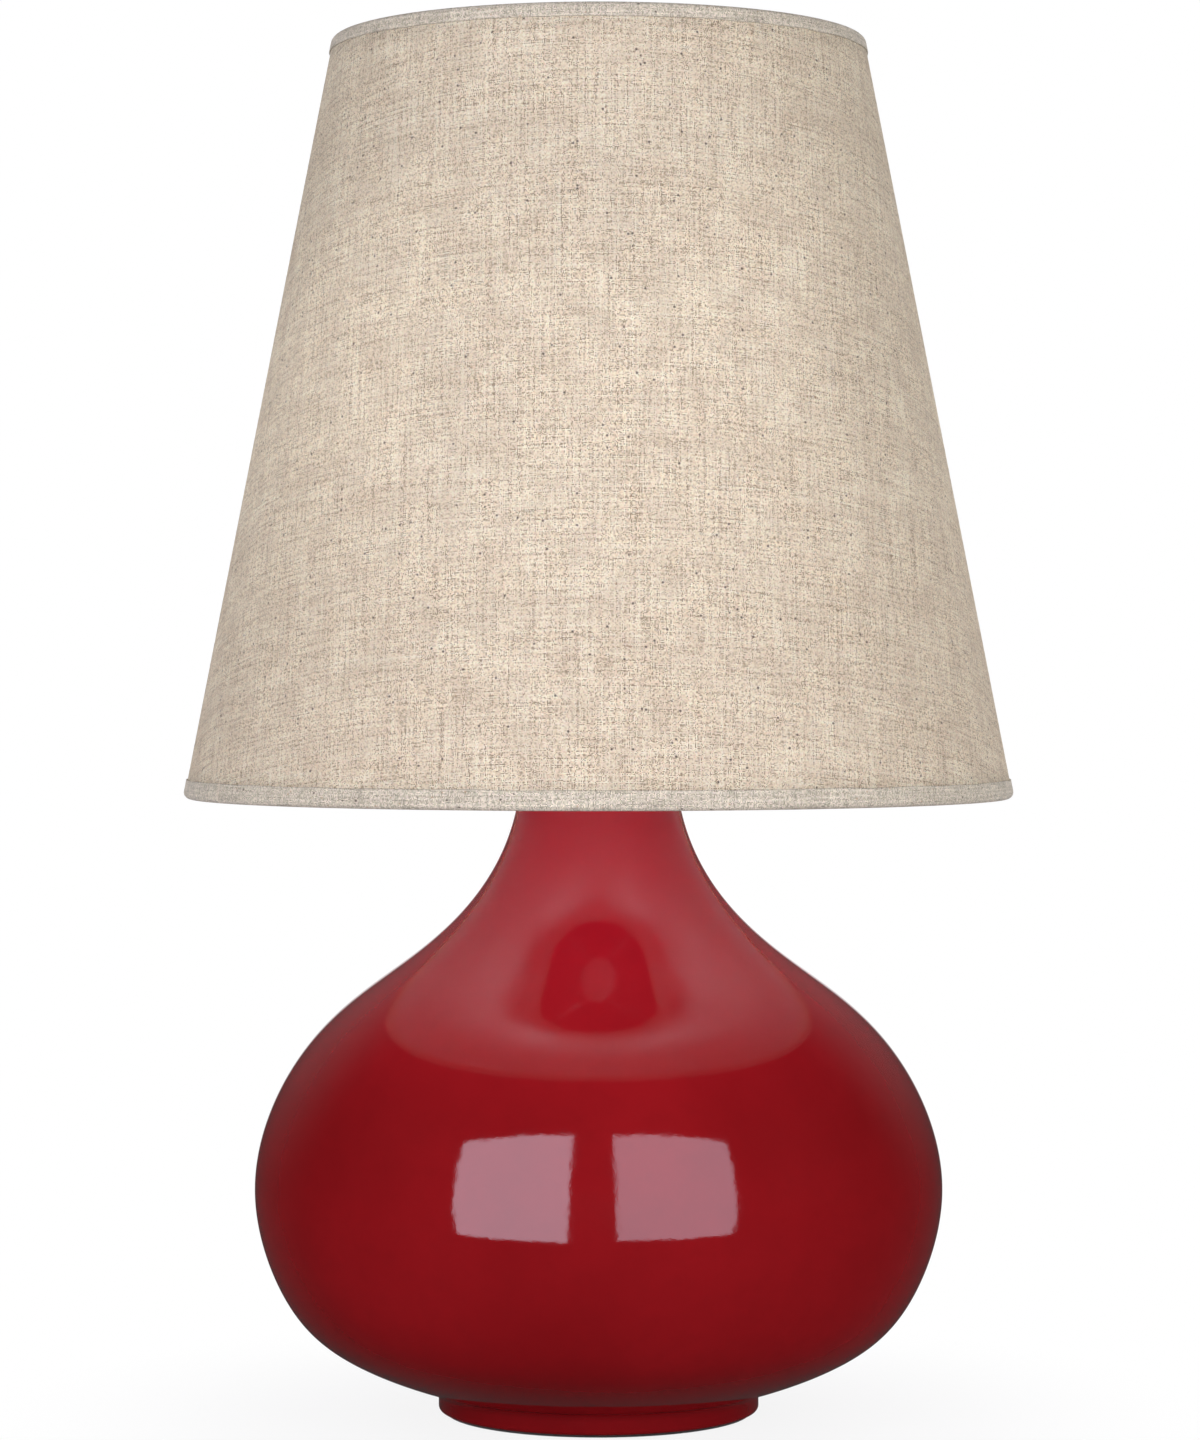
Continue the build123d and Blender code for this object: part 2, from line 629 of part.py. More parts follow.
def socket_liner():
    """The card sleeve that insulates the shell."""
    sleeve = tube(LINER_RADIUS, LINER_RADIUS - LINER_WALL, LEDGE_Z, LEDGE_Z + SHELL_HEIGHT - LINER_SHORT)
    return sleeve - shaft_hole(SWITCH_SHAFT_RADIUS + SWITCH_SHAFT_PLAY)


def terminal_planes():
    """The planes of the two flats on the switch housing where the wires are screwed down."""
    height = LEDGE_Z + TERMINAL_HEIGHT
    return [
        Plane((side * TERMINAL_FLAT, 0, height), x_dir=(0, 1, 0), z_dir=(side, 0, 0)) for side in (-1, 1)
    ]


def switch_housing():
    """The moulded block in the socket that holds the switch, the terminals and the screw shell."""
    housing = disc(HOUSING_RADIUS, LEDGE_Z, HOUSING_TOP_Z)
    housing -= disc(HOUSING_POCKET_RADIUS, LEDGE_Z, LEDGE_Z + HOUSING_POCKET_DEPTH)
    housing -= switch_plane() * disc(SWITCH_SHAFT_RADIUS + RUN_FIT, -SWITCH_SHAFT_DEPTH, HOUSING_RADIUS)
    pad = 2 * TERMINAL_HEAD_RADIUS + 2 * SWITCH_SHAFT_PLAY
    for plane in terminal_planes():
        housing -= plane * Pos(0, 0, pad / 2) * Box(pad, pad, pad)
        housing -= plane * disc(TERMINAL_SHANK_RADIUS + WELD_GAP, -TERMINAL_SHANK_LENGTH, pad)
    return housing


def terminal_screws():
    """The two wire screws on the housing's flats."""
    screws = []
    for plane in terminal_planes():
        screw = disc(TERMINAL_SHANK_RADIUS, -TERMINAL_SHANK_LENGTH, 0)
        screw += disc(TERMINAL_HEAD_RADIUS, 0, TERMINAL_HEAD_HEIGHT)
        screws.append(plane * slotted(screw, TERMINAL_HEAD_HEIGHT))
    return Compound(children=screws)


def screw_shell():
    """The thin shell that the bulb screws into, with an open floor round the middle contact."""
    outside = SCREW_SHELL_BORE + SCREW_SHELL_WALL
    top = HOUSING_TOP_Z + SCREW_SHELL_HEIGHT
    floor_top = HOUSING_TOP_Z + SCREW_SHELL_WALL
    return turned_polygon(
        (SCREW_SHELL_HOLE, HOUSING_TOP_Z),
        (outside, HOUSING_TOP_Z),
        (outside, top),
        (SCREW_SHELL_BORE, top),
        (SCREW_SHELL_BORE, floor_top),
        (SCREW_SHELL_HOLE, floor_top),
    )


def centre_contact():
    """The bent spring tongue under the bulb's tip."""
    half = CONTACT_LENGTH / 2
    low = HOUSING_TOP_Z
    top = low + CONTACT_RISE
    tongue = Polyline(
        (-half, low),
        (half, low),
        (half, low + CONTACT_SHEET),
        (-half + 2 * CONTACT_SHEET, low + CONTACT_SHEET),
        (0, top - CONTACT_SHEET),
        (half / 2, top - CONTACT_SHEET),
        (half / 2, top),
        (-CONTACT_SHEET, top),
        (-half, low + 2 * CONTACT_SHEET),
        close=True,
    )
    return extrude(Plane.XZ * make_face(tongue.edges()), CONTACT_WIDTH / 2, both=True)


def switch_shaft():
    """The round shaft of the turn switch."""
    end = SWITCH_KNOB_START + SWITCH_KNOB_BORE_DEPTH - SWITCH_SHAFT_PLAY
    return switch_plane() * disc(SWITCH_SHAFT_RADIUS, -SWITCH_SHAFT_DEPTH + SWITCH_SHAFT_PLAY, end)


def switch_knob():
    """The fluted knob on the end of the switch shaft."""
    start = SWITCH_KNOB_START
    end = start + SWITCH_KNOB_LENGTH
    grip = start + SWITCH_KNOB_LENGTH / 3
    bore_end = start + SWITCH_KNOB_BORE_DEPTH
    bore = SWITCH_SHAFT_RADIUS + WELD_GAP
    knob = turned_polygon(
        (bore, start),
        (SWITCH_KNOB_WAIST, start),
        (SWITCH_KNOB_RADIUS, grip),
        (SWITCH_KNOB_RADIUS, end),
        (0, end),
        (0, bore_end),
        (bore, bore_end),
    )
    knob = fillet(knob.edges().filter_by(GeomType.CIRCLE).sort_by(Axis.Z)[-1], SWITCH_KNOB_ROUND)
    for flute in PolarLocations(SWITCH_KNOB_RADIUS, SWITCH_FLUTES):
        knob -= flute * disc(SWITCH_FLUTE_RADIUS, grip, end)
    return switch_plane() * knob


def bulb_neck_curve(radius, low, wide, high):
    """The swelling side of the bulb between its neck and its widest level."""
    handle = BULB_NECK_HANDLE * (high - low)
    return Bezier((wide, high), (wide, high - handle), (radius, low + handle), (radius, low))


def bulb_glass():
    """The hollow glass envelope, open at the neck."""
    swell_z = STEM_Z + BULB_NECK_RISE
    side = bulb_neck_curve(BULB_NECK_RADIUS, swell_z, BULB_RADIUS, BULB_CENTRE_Z)
    inner_shares = (0.0, 0.25, 0.5, 0.75, 1.0)
    inner_side = Spline(*[inset(side, share, BULB_GLASS) for share in inner_shares])
    inner_neck = BULB_NECK_RADIUS - BULB_GLASS
    crown = CenterArc((0, BULB_CENTRE_Z), BULB_RADIUS, 0, 90)
    inner_crown = CenterArc((0, BULB_CENTRE_Z), BULB_RADIUS - BULB_GLASS, 0, 90)
    rim = Polyline(
        (BULB_NECK_RADIUS, swell_z),
        (BULB_NECK_RADIUS, STEM_Z),
        (inner_neck, STEM_Z),
        (inner_neck, swell_z),
    )
    tip = Line((0, BULB_TOP_Z), (0, BULB_TOP_Z - BULB_GLASS))
    return turned([side, *rim.edges(), inner_side, inner_crown, tip, crown])


def bulb_cap():
    """The metal screw cap of the bulb, drawn in at its lower end."""
    inner = BULB_CAP_RADIUS - BULB_CAP_WALL
    mouth = BULB_INSULATOR_RADIUS + WELD_GAP
    shoulder = BULB_CAP_Z + (BULB_CAP_RADIUS - mouth)
    return turned_polygon(
        (mouth, BULB_CAP_Z),
        (mouth + BULB_CAP_WALL, BULB_CAP_Z),
        (BULB_CAP_RADIUS, shoulder),
        (BULB_CAP_RADIUS, BULB_CAP_TOP_Z),
        (inner, BULB_CAP_TOP_Z),
        (inner, shoulder),
        (mouth, BULB_CAP_Z + BULB_CAP_WALL),
    )


def bulb_insulator():
    """The dark glass ring between the cap and the tip."""
    low = TIP_Z + BULB_TIP_HEIGHT
    top = BULB_CAP_Z + BULB_TIP_STEM_LENGTH / 2
    hole = BULB_TIP_STEM_RADIUS + THREAD_PLAY
    return turned_polygon(
        (hole, low),
        (BULB_INSULATOR_LIP, low),
        (BULB_INSULATOR_RADIUS, BULB_CAP_Z),
        (BULB_INSULATOR_RADIUS, top),
        (hole, top),
    )


def bulb_tip():
    """The contact button with a short stem in the insulator."""
    high = TIP_Z + BULB_TIP_HEIGHT
    stem_top = high + BULB_TIP_STEM_LENGTH
    dome = Bezier((0, TIP_Z), (BULB_TIP_RADIUS, TIP_Z), (BULB_TIP_RADIUS, high))
    rest = Polyline(
        (BULB_TIP_RADIUS, high),
        (BULB_TIP_STEM_RADIUS, high),
        (BULB_TIP_STEM_RADIUS, stem_top),
        (0, stem_top),
        (0, TIP_Z),
    )
    return turned([dome, *rest.edges()])


def bulb_stem():
    """The glass stem, flared where it is sealed into the bulb's neck."""
    seal = BULB_NECK_RADIUS - BULB_GLASS - WELD_GAP
    flare_z = STEM_Z + STEM_FLARE_LENGTH
    flare = Bezier((seal, STEM_Z + BULB_GLASS), (STEM_RADIUS, STEM_Z + BULB_GLASS), (STEM_RADIUS, flare_z))
    rest = Polyline(
        (STEM_RADIUS, flare_z),
        (STEM_RADIUS, STEM_TOP_Z),
        (0, STEM_TOP_Z),
        (0, STEM_Z),
        (seal, STEM_Z),
        (seal, STEM_Z + BULB_GLASS),
    )
    stem = turned([flare, *rest.edges()])
    for side in (-1, 1):
        stem -= Pos(side * LEAD_SPREAD, 0, 0) * disc(LEAD_RADIUS + WELD_GAP, flare_z, STEM_TOP_Z)
    return stem


def lead_top():
    """Where the right-hand lead ends, as (across, height)."""
    return (LEAD_SPREAD + LEAD_REACH, STEM_TOP_Z + LEAD_RISE)


def bulb_leads():
    """The two wires that carry the filament."""
    foot = (LEAD_SPREAD, STEM_Z + STEM_FLARE_LENGTH + LEAD_RADIUS)
    bend = (LEAD_SPREAD, STEM_TOP_Z + LEAD_SPREAD)
    path = Plane.XZ * FilletPolyline(foot, bend, lead_top(), radius=LEAD_SPREAD)
    start = Plane((foot[0], 0, foot[1]), z_dir=(0, 0, 1))
    lead = sweep(start * Circle(LEAD_RADIUS), path=path)
    return Compound(children=[lead, mirror(lead, about=Plane.YZ)])


def bulb_filament():
    """The fine coil between the leads, as one arched wire."""
    across, height = lead_top()
    end = across - LEAD_RADIUS
    rise = height + LEAD_RADIUS + 2 * FILAMENT_RADIUS
    arch = Plane.XZ * ThreePointArc((-end, rise), (0, rise + FILAMENT_SAG), (end, rise))
    start = Plane(arch @ 0, z_dir=arch % 0)
    return sweep(start * Circle(FILAMENT_RADIUS), path=arch)


def rim_plane(radius, level, upper):
    """A plane through a shade edge: x out of the linen, y along its slope and past the edge."""
    out = (math.cos(SHADE_SLOPE), 0, math.sin(SHADE_SLOPE))
    return Plane((radius, 0, level), x_dir=out, z_dir=(0, -1 if upper else 1, 0))


TOP_RIM = rim_plane(SHADE_TOP_RADIUS, SHADE_TOP_Z, True)
BOTTOM_RIM = rim_plane(SHADE_BOTTOM_RADIUS, SHADE_BOTTOM_Z, False)


def cone_layer(outer, inner):
    """One layer of the shade, between two depths under its outside."""
    depths = ((TOP_RIM, outer), (TOP_RIM, inner), (BOTTOM_RIM, inner), (BOTTOM_RIM, outer))
    corners = [rim.from_local_coords((depth, 0)) for rim, depth in depths]
    return turned_polygon(*[(corner.X, corner.Z) for corner in corners])


def trim(rim, width):
    """The folded band that wraps a wire ring and is glued to both sides of the shade."""
    glue = -(LINEN + SHADE_LINER)
    far = -2 * TRIM_ROLL
    outside = Polyline((0, 0), (0, -width), (TRIM, -width), (TRIM, 0))
    over = CenterArc((-TRIM_ROLL, 0), TRIM_ROLL + TRIM, 0, 180)
    inside = Polyline(
        (far - TRIM, 0),
        (far - TRIM, -TRIM_INNER_LEG),
        (glue - TRIM, -TRIM_GLUE_START),
        (glue - TRIM, -TRIM_GLUE_END),
        (glue, -TRIM_GLUE_END),
        (glue, -TRIM_GLUE_START),
        (far, -TRIM_INNER_LEG),
        (far, 0),
    )
    under = CenterArc((-TRIM_ROLL, 0), TRIM_ROLL, 0, 180)
    return revolve(rim * make_face([*outside.edges(), over, *inside.edges(), under]), Axis.Z)


def ring_centre(rim):
    """The middle of a ring's wire, as a point in the XZ plane."""
    return rim.from_local_coords((-RING_INSET, 0))


def wire_ring(rim, radius):
    """A ring of round wire inside a folded band."""
    centre = ring_centre(rim)
    return Pos(0, 0, centre.Z) * Torus(centre.X, radius)


def spider_arms(radius):
    """The arms from the hub up to the top ring, as wires of the given radius."""
    ring = ring_centre(TOP_RIM)
    level = HUB_TOP_Z + ARM_RADIUS + WELD_GAP
    path = Plane.XZ * FilletPolyline(
        (ARM_START, level), (ARM_BEND_AT, level), (ring.X, ring.Z), radius=ARM_BEND_RADIUS
    )
    start = Plane((ARM_START, 0, level), z_dir=(1, 0, 0))
    arm = sweep(start * Circle(radius), path=path)
    arm -= wire_ring(TOP_RIM, RING_WIRE_RADIUS + WELD_GAP)
    return [Rot(0, 0, ARM_FIRST_ANGLE + 360 * turn / ARM_COUNT) * arm for turn in range(ARM_COUNT)]


def top_trim():
    """The upper band, notched where the spider's arms reach the ring."""
    band = trim(TOP_RIM, TOP_TRIM_WIDTH)
    for notch in spider_arms(ARM_RADIUS + ARM_NOTCH_PLAY):
        band -= notch
    return band


def finial_bush():
    """The threaded bush inside the finial, with the flange that clamps the spider's hub."""
    low = HUB_TOP_Z
    flange = low + FINIAL_FLANGE_THICKNESS
    top = low + FINIAL_BARREL_HEIGHT
    hole = STUD_POST_RADIUS + THREAD_PLAY
    roof = top - FINIAL_FLOOR
    return turned_polygon(
        (hole, low),
        (FINIAL_FLANGE_RADIUS, low),
        (FINIAL_FLANGE_RADIUS, flange),
        (FINIAL_BARREL_RADIUS, flange),
        (FINIAL_BARREL_RADIUS, top),
        (0, top),
        (0, roof),
        (hole, roof),
    )


def finial_knob():
    """The turned ball that is gripped to tighten the finial."""
    low = HUB_TOP_Z + FINIAL_FLANGE_THICKNESS
    centre = low + FINIAL_BALL_RISE
    collar = low + FINIAL_COLLAR_HEIGHT
    bore_top = HUB_TOP_Z + FINIAL_BARREL_HEIGHT + RUN_FIT
    bore = FINIAL_BARREL_RADIUS + RUN_FIT
    knob = disc(FINIAL_COLLAR_RADIUS, low, collar)
    knob += disc(FINIAL_BARREL_RADIUS + FINIAL_NECK_WALL, collar, centre)
    knob += Pos(0, 0, centre) * Sphere(FINIAL_BALL_RADIUS)
    return knob - disc(bore, low - RUN_FIT, bore_top)


# Body and what stands on it
shoulder_curve, underside_curve = body_curves()
exit_plane = cord_exit(underside_curve)
save("felt_pad", disc(FOOT_RADIUS - FELT_INSET, 0, FELT_THICKNESS))
save("ceramic_body", ceramic_body(shoulder_curve, underside_curve, exit_plane))
save("cord_bushing", cord_bushing(exit_plane))
save("rubber_washer", tube(RUBBER_WASHER_RADIUS, PIPE_SEAT, RUBBER_Z, RECESS_Z))
save("steel_washer", tube(STEEL_WASHER_RADIUS, PIPE_SEAT, STEEL_Z, RUBBER_Z))
save("bottom_nut", hexagon_nut(BOTTOM_NUT_Z, PIPE_SEAT))
save("lamp_pipe", tube(PIPE_RADIUS, PIPE_BORE, PIPE_LOW_Z, PIPE_TOP_Z))
save("vase_cap", vase_cap())
save("neck_spacer", neck_spacer())

# Harp and its fittings
save("harp_saddle", harp_saddle())
save("saddle_nut", hexagon_nut(SADDLE_NUT_Z, PIPE_SEAT))
save("harp_bow", harp_bow())
save("harp_top_block", harp_top_block())
save("harp_stud", harp_stud())
save("left_ferrule", ferrule(-1))
save("right_ferrule", ferrule(1))

# Socket and switch
save("socket_cap", socket_cap())
save("socket_set_screw", set_screw())
save("socket_shell", socket_shell())
save("socket_liner", socket_liner())
save("switch_housing", switch_housing())
save("terminal_screws", terminal_screws())
save("screw_shell", screw_shell())
save("centre_contact", centre_contact())
save("switch_shaft", switch_shaft())
save("switch_knob", switch_knob())

# Bulb
save("bulb_glass", bulb_glass())
save("bulb_cap", bulb_cap())
save("bulb_insulator", bulb_insulator())
save("bulb_tip", bulb_tip())
save("bulb_stem", bulb_stem())
save("bulb_leads", bulb_leads())
save("bulb_filament", bulb_filament())

# Shade and finial
save("shade_linen", cone_layer(0, -LINEN))
save("shade_liner", cone_layer(-LINEN, -LINEN - SHADE_LINER))
save("shade_top_trim", top_trim())
save("shade_bottom_trim", trim(BOTTOM_RIM, BOTTOM_TRIM_WIDTH))
save("shade_top_ring", wire_ring(TOP_RIM, RING_WIRE_RADIUS))
save("shade_bottom_ring", wire_ring(BOTTOM_RIM, RING_WIRE_RADIUS))
save("spider_arms", Compound(children=spider_arms(ARM_RADIUS)))
save("spider_hub", tube(HUB_RADIUS, STUD_POST_RADIUS + THREAD_PLAY, SEAT_Z, HUB_TOP_Z))
save("finial_bush", finial_bush())
save("finial_knob", finial_knob())
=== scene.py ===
import json
import math

import bmesh
import bpy
from mathutils import Matrix, Vector, noise


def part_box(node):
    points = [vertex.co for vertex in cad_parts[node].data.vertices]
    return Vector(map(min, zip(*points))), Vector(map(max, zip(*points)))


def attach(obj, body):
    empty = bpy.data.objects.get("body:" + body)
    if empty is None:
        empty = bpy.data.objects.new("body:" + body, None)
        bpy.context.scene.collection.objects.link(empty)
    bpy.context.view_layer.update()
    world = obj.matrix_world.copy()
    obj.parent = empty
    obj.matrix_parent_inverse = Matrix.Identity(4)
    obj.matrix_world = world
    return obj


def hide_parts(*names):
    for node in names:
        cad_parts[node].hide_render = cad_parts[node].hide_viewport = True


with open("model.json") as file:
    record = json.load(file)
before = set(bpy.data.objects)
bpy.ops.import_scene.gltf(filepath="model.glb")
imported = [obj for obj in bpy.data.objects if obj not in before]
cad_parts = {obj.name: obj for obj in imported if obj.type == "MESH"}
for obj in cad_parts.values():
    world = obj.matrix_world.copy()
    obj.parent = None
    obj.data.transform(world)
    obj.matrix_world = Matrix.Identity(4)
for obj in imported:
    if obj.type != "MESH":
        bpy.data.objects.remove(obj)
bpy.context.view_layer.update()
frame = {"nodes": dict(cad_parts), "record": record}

NODES = frame["nodes"]
SLOT_OF = {part["node"]: part["material_slot"] for part in frame["record"]["subparts"]}

# Ceramic body, in metres; its height, belly and foot level come from the frame
BODY_LOW, BODY_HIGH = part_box("ceramic_body")
FOOT_Z = BODY_LOW.z
NECK_TOP_Z = BODY_HIGH.z
BELLY_RADIUS = BODY_HIGH.x
BELLY_Z = FOOT_Z + 0.096
NECK_RADIUS = 0.0328
FOOT_RADIUS = 0.069
FOOT_TOP_Z = FOOT_Z + 0.0056
FOOT_FILLET = 0.004
FOOT_SLOPE = math.radians(15.6)
FOOT_HANDLE = 0.0352
FOOT_EDGE_ROUND = 0.002
FOOT_RING_WIDTH = 0.009
RECESS_Z = FOOT_Z + 0.015
WALL = 0.006
LIP_ROUND = 0.0016
PIPE_HOLE_RADIUS = 0.0065
CORD_HOLE_RADIUS = 0.0059
CORD_HOLE_DEPTH = 0.03
SHOULDER_HANDLES = ((0, 0.769), (0, 0.622), (0.555, 0.384), (0.49, 0.539), (1, 0.302))
UNDERSIDE_HANDLES = ((1, 0.596), (0.728, 0.3), (0.731, 0.269))
SHOULDER_STEPS = 150
UNDERSIDE_STEPS = 110
INNER_UNDERSIDE_STEPS = 92
BODY_COLUMNS = 288

# Shade, in metres; the cone's edges come from the frame
LINEN_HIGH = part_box("shade_linen")[1]
SHADE_BOTTOM_RADIUS = LINEN_HIGH.x
SHADE_TOP_RADIUS = 0.1144
SHADE_HEIGHT = 0.320
SHADE_TOP_Z = LINEN_HIGH.z
SHADE_SLOPE = math.atan2(SHADE_BOTTOM_RADIUS - SHADE_TOP_RADIUS, SHADE_HEIGHT)
SHADE_BOTTOM_Z = SHADE_TOP_Z - SHADE_HEIGHT
SEAM_OVERLAP = 0.012
SEAM_STEP = 0.0006
LINEN_COLUMNS = 420
LINEN_ROWS = 90
BACK = math.pi

# Folded bands on the shade's rims: thickness, roll over the rim, width outside and glued leg inside
TRIM = 0.00065
TRIM_ROLL = 0.0021
TRIM_MESH_SHARE = 0.92
TOP_TRIM_WIDTH = 0.0039
BOTTOM_TRIM_WIDTH = 0.0050
INNER_LEG = 0.0018
GLUE_DEPTH = 0.001
GLUE_START = 0.0068
GLUE_END = 0.009
BAND_COLUMNS = 480
BAND_STEPS = 8
ROLL_STEPS = 16
BAND_LAP = 0.009
BAND_LAP_STEP = 0.0005
BOTTOM_JOINT = math.radians(-64.6)

# Unevenness of the bands' outside: the hem's zone, waves, sway and ripple, lift off the linen, and its limits
HEM_ZONE = 0.002
HEM_WAVES = 9
HEM_SWAY = 0.00035
HEM_RIPPLE = 0.00012
BAND_LIFT = 0.00008
OUTSIDE_DEPTH = 0.0005
OUTSIDE_SLACK = 0.001

# Felt pad: rounding and wear of its edge
FELT_CENTRE = 0.0001
FELT_EDGE = 0.0004
FELT_RING = 0.002
FELT_WEAR = 0.0035
FELT_GRAIN = 900
FELT_COLUMNS = 240

# Weave of the linen and of its bands: width of a thread, and how fast tones change across and along threads
THREAD = 0.00046
BAND_THREAD = 0.00048
WARP_STEP = 17.3
WARP_STREAK = 0.009
WEFT_STEP = 13.7
WEFT_STREAK = 0.012

# Flecks in the linen: size of their cells in metres, share of cells that hold one, strength and colour
FLECKS = (
    (0.0014, 0.014, 0.60, (0.36, 0.20, 0.095)),
    (0.0017, 0.009, 0.92, (0.085, 0.06, 0.045)),
)

# Screw threads of the bulb and of the socket
CAP_LOW, CAP_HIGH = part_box("bulb_cap")
SHELL_LOW, SHELL_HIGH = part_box("screw_shell")
THREAD_PITCH = 0.00363
THREAD_DEPTH = 0.0008
THREAD_GAP = 0.0003
SHEET_METAL = 0.0003
TUBE_COLUMNS = 96
CAP_STEPS = 90
CAP_SHOULDER = 0.0026
CAP_TAPER = 0.0021
CAP_COLLAR = 0.004
SHELL_STEPS = 96
SHELL_FLOOR = 0.0008
SHELL_FLOOR_REACH = 0.0052
SHELL_THREAD_START = 0.003
SHELL_THREAD_END = 0.001

# Noise cells per metre across and along the axis of turned metal
LATHE_RINGS = (60, 60, 2600)

# Camera that matches the picture's frame of 1200 by 1440
CAMERA_PLACE = (0.0006, -1.8778, 0.323)
CAMERA_PITCH = math.atan2(57, 4356)
LENS = 108.9

# Soft panels on both sides of the camera: name, azimuth in degrees, shift, middle, width, height, radiance
PANEL_DISTANCE = 1.9
PANEL_LEAN = math.radians(7.5)
PANEL_COLOUR = (1.0, 1.0, 1.2)
PANELS = (
    ("left_panel", -8, -0.89, 0.62, 1.64, 2.14, 3.4),
    ("right_panel", 8, 0.75, 0.635, 1.63, 2.09, 2.65),
)

# Fill panels that nothing mirrors: name, azimuth in degrees, middle, width, height, radiance and colour
FILL_COLOUR = (1.0, 0.99, 0.98)
BACK_COLOUR = (1.0, 1.0, 1.15)
FILLS = (
    ("left_fill", -78, 0.75, 1.2, 1.3, 1.5, FILL_COLOUR),
    ("right_fill", 78, 0.75, 1.2, 1.3, 2.5, FILL_COLOUR),
    ("front_fill", 0, 0.25, 1.0, 0.7, 2.6, FILL_COLOUR),
    ("back_left_fill", -150, 0.6, 1.4, 1.4, 3.0, BACK_COLOUR),
    ("back_right_fill", 150, 0.6, 1.4, 1.4, 3.0, BACK_COLOUR),
)

# Lights inside the shade, on a circle round the bulb's neck
SHADE_LIGHTS = 4
SHADE_LIGHT_RADIUS = 0.06
SHADE_LIGHT_RISE = 0.045
SHADE_LIGHT_WIDTH = 0.045
SHADE_LIGHT_TILT = math.radians(25)
SHADE_LIGHT_POWER = 0.60
SHADE_LIGHT_COLOUR = (0.95, 0.97, 1.06)

# White sweep behind the lamp, as the cosine of the angle off its middle
SWEEP_EDGE = math.cos(0.22)
SWEEP_FULL = math.cos(0.12)

# Round floor, in metres
FLOOR_RINGS = (0.0, 0.1, 0.3, 0.6, 0.9)
FLOOR_COLUMNS = 96
FLOOR_DROP = 0.0003


def mesh_object(name, points, faces):
    """A smooth-shaded mesh object in the scene."""
    mesh = bpy.data.meshes.new(name)
    mesh.from_pydata(points, [], faces)
    mesh.update()
    mesh.polygons.foreach_set("use_smooth", [True] * len(mesh.polygons))
    obj = bpy.data.objects.new(name, mesh)
    bpy.context.scene.collection.objects.link(obj)
    return obj


def grid_object(name, columns, rows, point, close_columns=False, close_rows=False, flat=None):
    """A grid of quads; point(i, j) places a corner and flat(i, j) lays it out as uncut cloth, in metres."""
    points = [point(i, j) for i in range(columns) for j in range(rows)]
    faces = []
    places = []
    for i in range(columns if close_columns else columns - 1):
        for j in range(rows if close_rows else rows - 1):
            corners = ((i, j), (i + 1, j), (i + 1, j + 1), (i, j + 1))
            faces.append([(a % columns) * rows + b % rows for a, b in corners])
            places.extend(corners)
    obj = mesh_object(name, points, faces)
    if flat:
        layer = obj.data.uv_layers.new(name="cloth")
        for loop, (a, b) in zip(layer.data, places):
            loop.uv = flat(a, b)
    return obj


def lathe(name, profile, columns):
    """A turned mesh about the lamp's axis from a closed profile of (radius, height)."""

    def point(i, j):
        angle = 2 * math.pi * i / columns
        radius, height = profile[j]
        return (radius * math.sin(angle), -radius * math.cos(angle), height)

    return grid_object(name, columns, len(profile), point, close_columns=True, close_rows=True)


def outward(obj):
    """Turns the faces of a closed mesh outwards."""
    shape = bmesh.new()
    shape.from_mesh(obj.data)
    bmesh.ops.remove_doubles(shape, verts=shape.verts, dist=1e-7)
    bmesh.ops.recalc_face_normals(shape, faces=shape.faces)
    shape.to_mesh(obj.data)
    shape.free()


def stand_in(obj, node, body, material):
    """Puts a new piece in the place of a CAD node, with that node's material slot."""
    obj.data.materials.append(material)
    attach(obj, body)
    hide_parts(node)


def bezier(points, share):
    """A point on a Bezier curve of any degree."""
    row = [Vector(p) for p in points]
    while len(row) > 1:
        row = [a.lerp(b, share) for a, b in zip(row, row[1:])]
    return row[0]


def arc(centre, radius, start, end, steps):
    """Points on an arc, angles in degrees, both ends included."""
    angles = [math.radians(start + (end - start) * k / steps) for k in range(steps + 1)]
    return [(centre[0] + radius * math.cos(a), centre[1] + radius * math.sin(a)) for a in angles]


def inset(curve, depth):
    """A curve moved inwards by depth, for a curve that runs down the outside."""
    moved = []
    for before, here, after in zip(curve, curve[1:], curve[2:]):
        way = (Vector(after) - Vector(before)).normalized()
        moved.append((here[0] + depth * way.y, here[1] - depth * way.x))
    return moved


def body_outline():
    """The outside of the ceramic body: its shoulder from neck to belly and its underside down to the foot."""
    reach = BELLY_RADIUS - NECK_RADIUS
    drop = NECK_TOP_Z - BELLY_Z
    upper = [(NECK_RADIUS + f * reach, BELLY_Z + g * drop) for f, g in SHOULDER_HANDLES]
    upper = [(NECK_RADIUS, NECK_TOP_Z), *upper, (BELLY_RADIUS, BELLY_Z)]
    start_r = FOOT_RADIUS + FOOT_FILLET - FOOT_FILLET * math.sin(FOOT_SLOPE)
    start_z = FOOT_TOP_Z + FOOT_FILLET * math.cos(FOOT_SLOPE)
    wide = BELLY_RADIUS - start_r
    high = BELLY_Z - start_z
    lower = [(start_r + f * wide, start_z + g * high) for f, g in UNDERSIDE_HANDLES]
    handle_r = start_r + FOOT_HANDLE * math.cos(FOOT_SLOPE)
    handle_z = start_z + FOOT_HANDLE * math.sin(FOOT_SLOPE)
    lower = [(BELLY_RADIUS, BELLY_Z), *lower, (handle_r, handle_z), (start_r, start_z)]
    shoulder = [tuple(bezier(upper, k / SHOULDER_STEPS)) for k in range(SHOULDER_STEPS + 1)]
    underside = [tuple(bezier(lower, k / UNDERSIDE_STEPS)) for k in range(UNDERSIDE_STEPS + 1)]
    return shoulder, underside


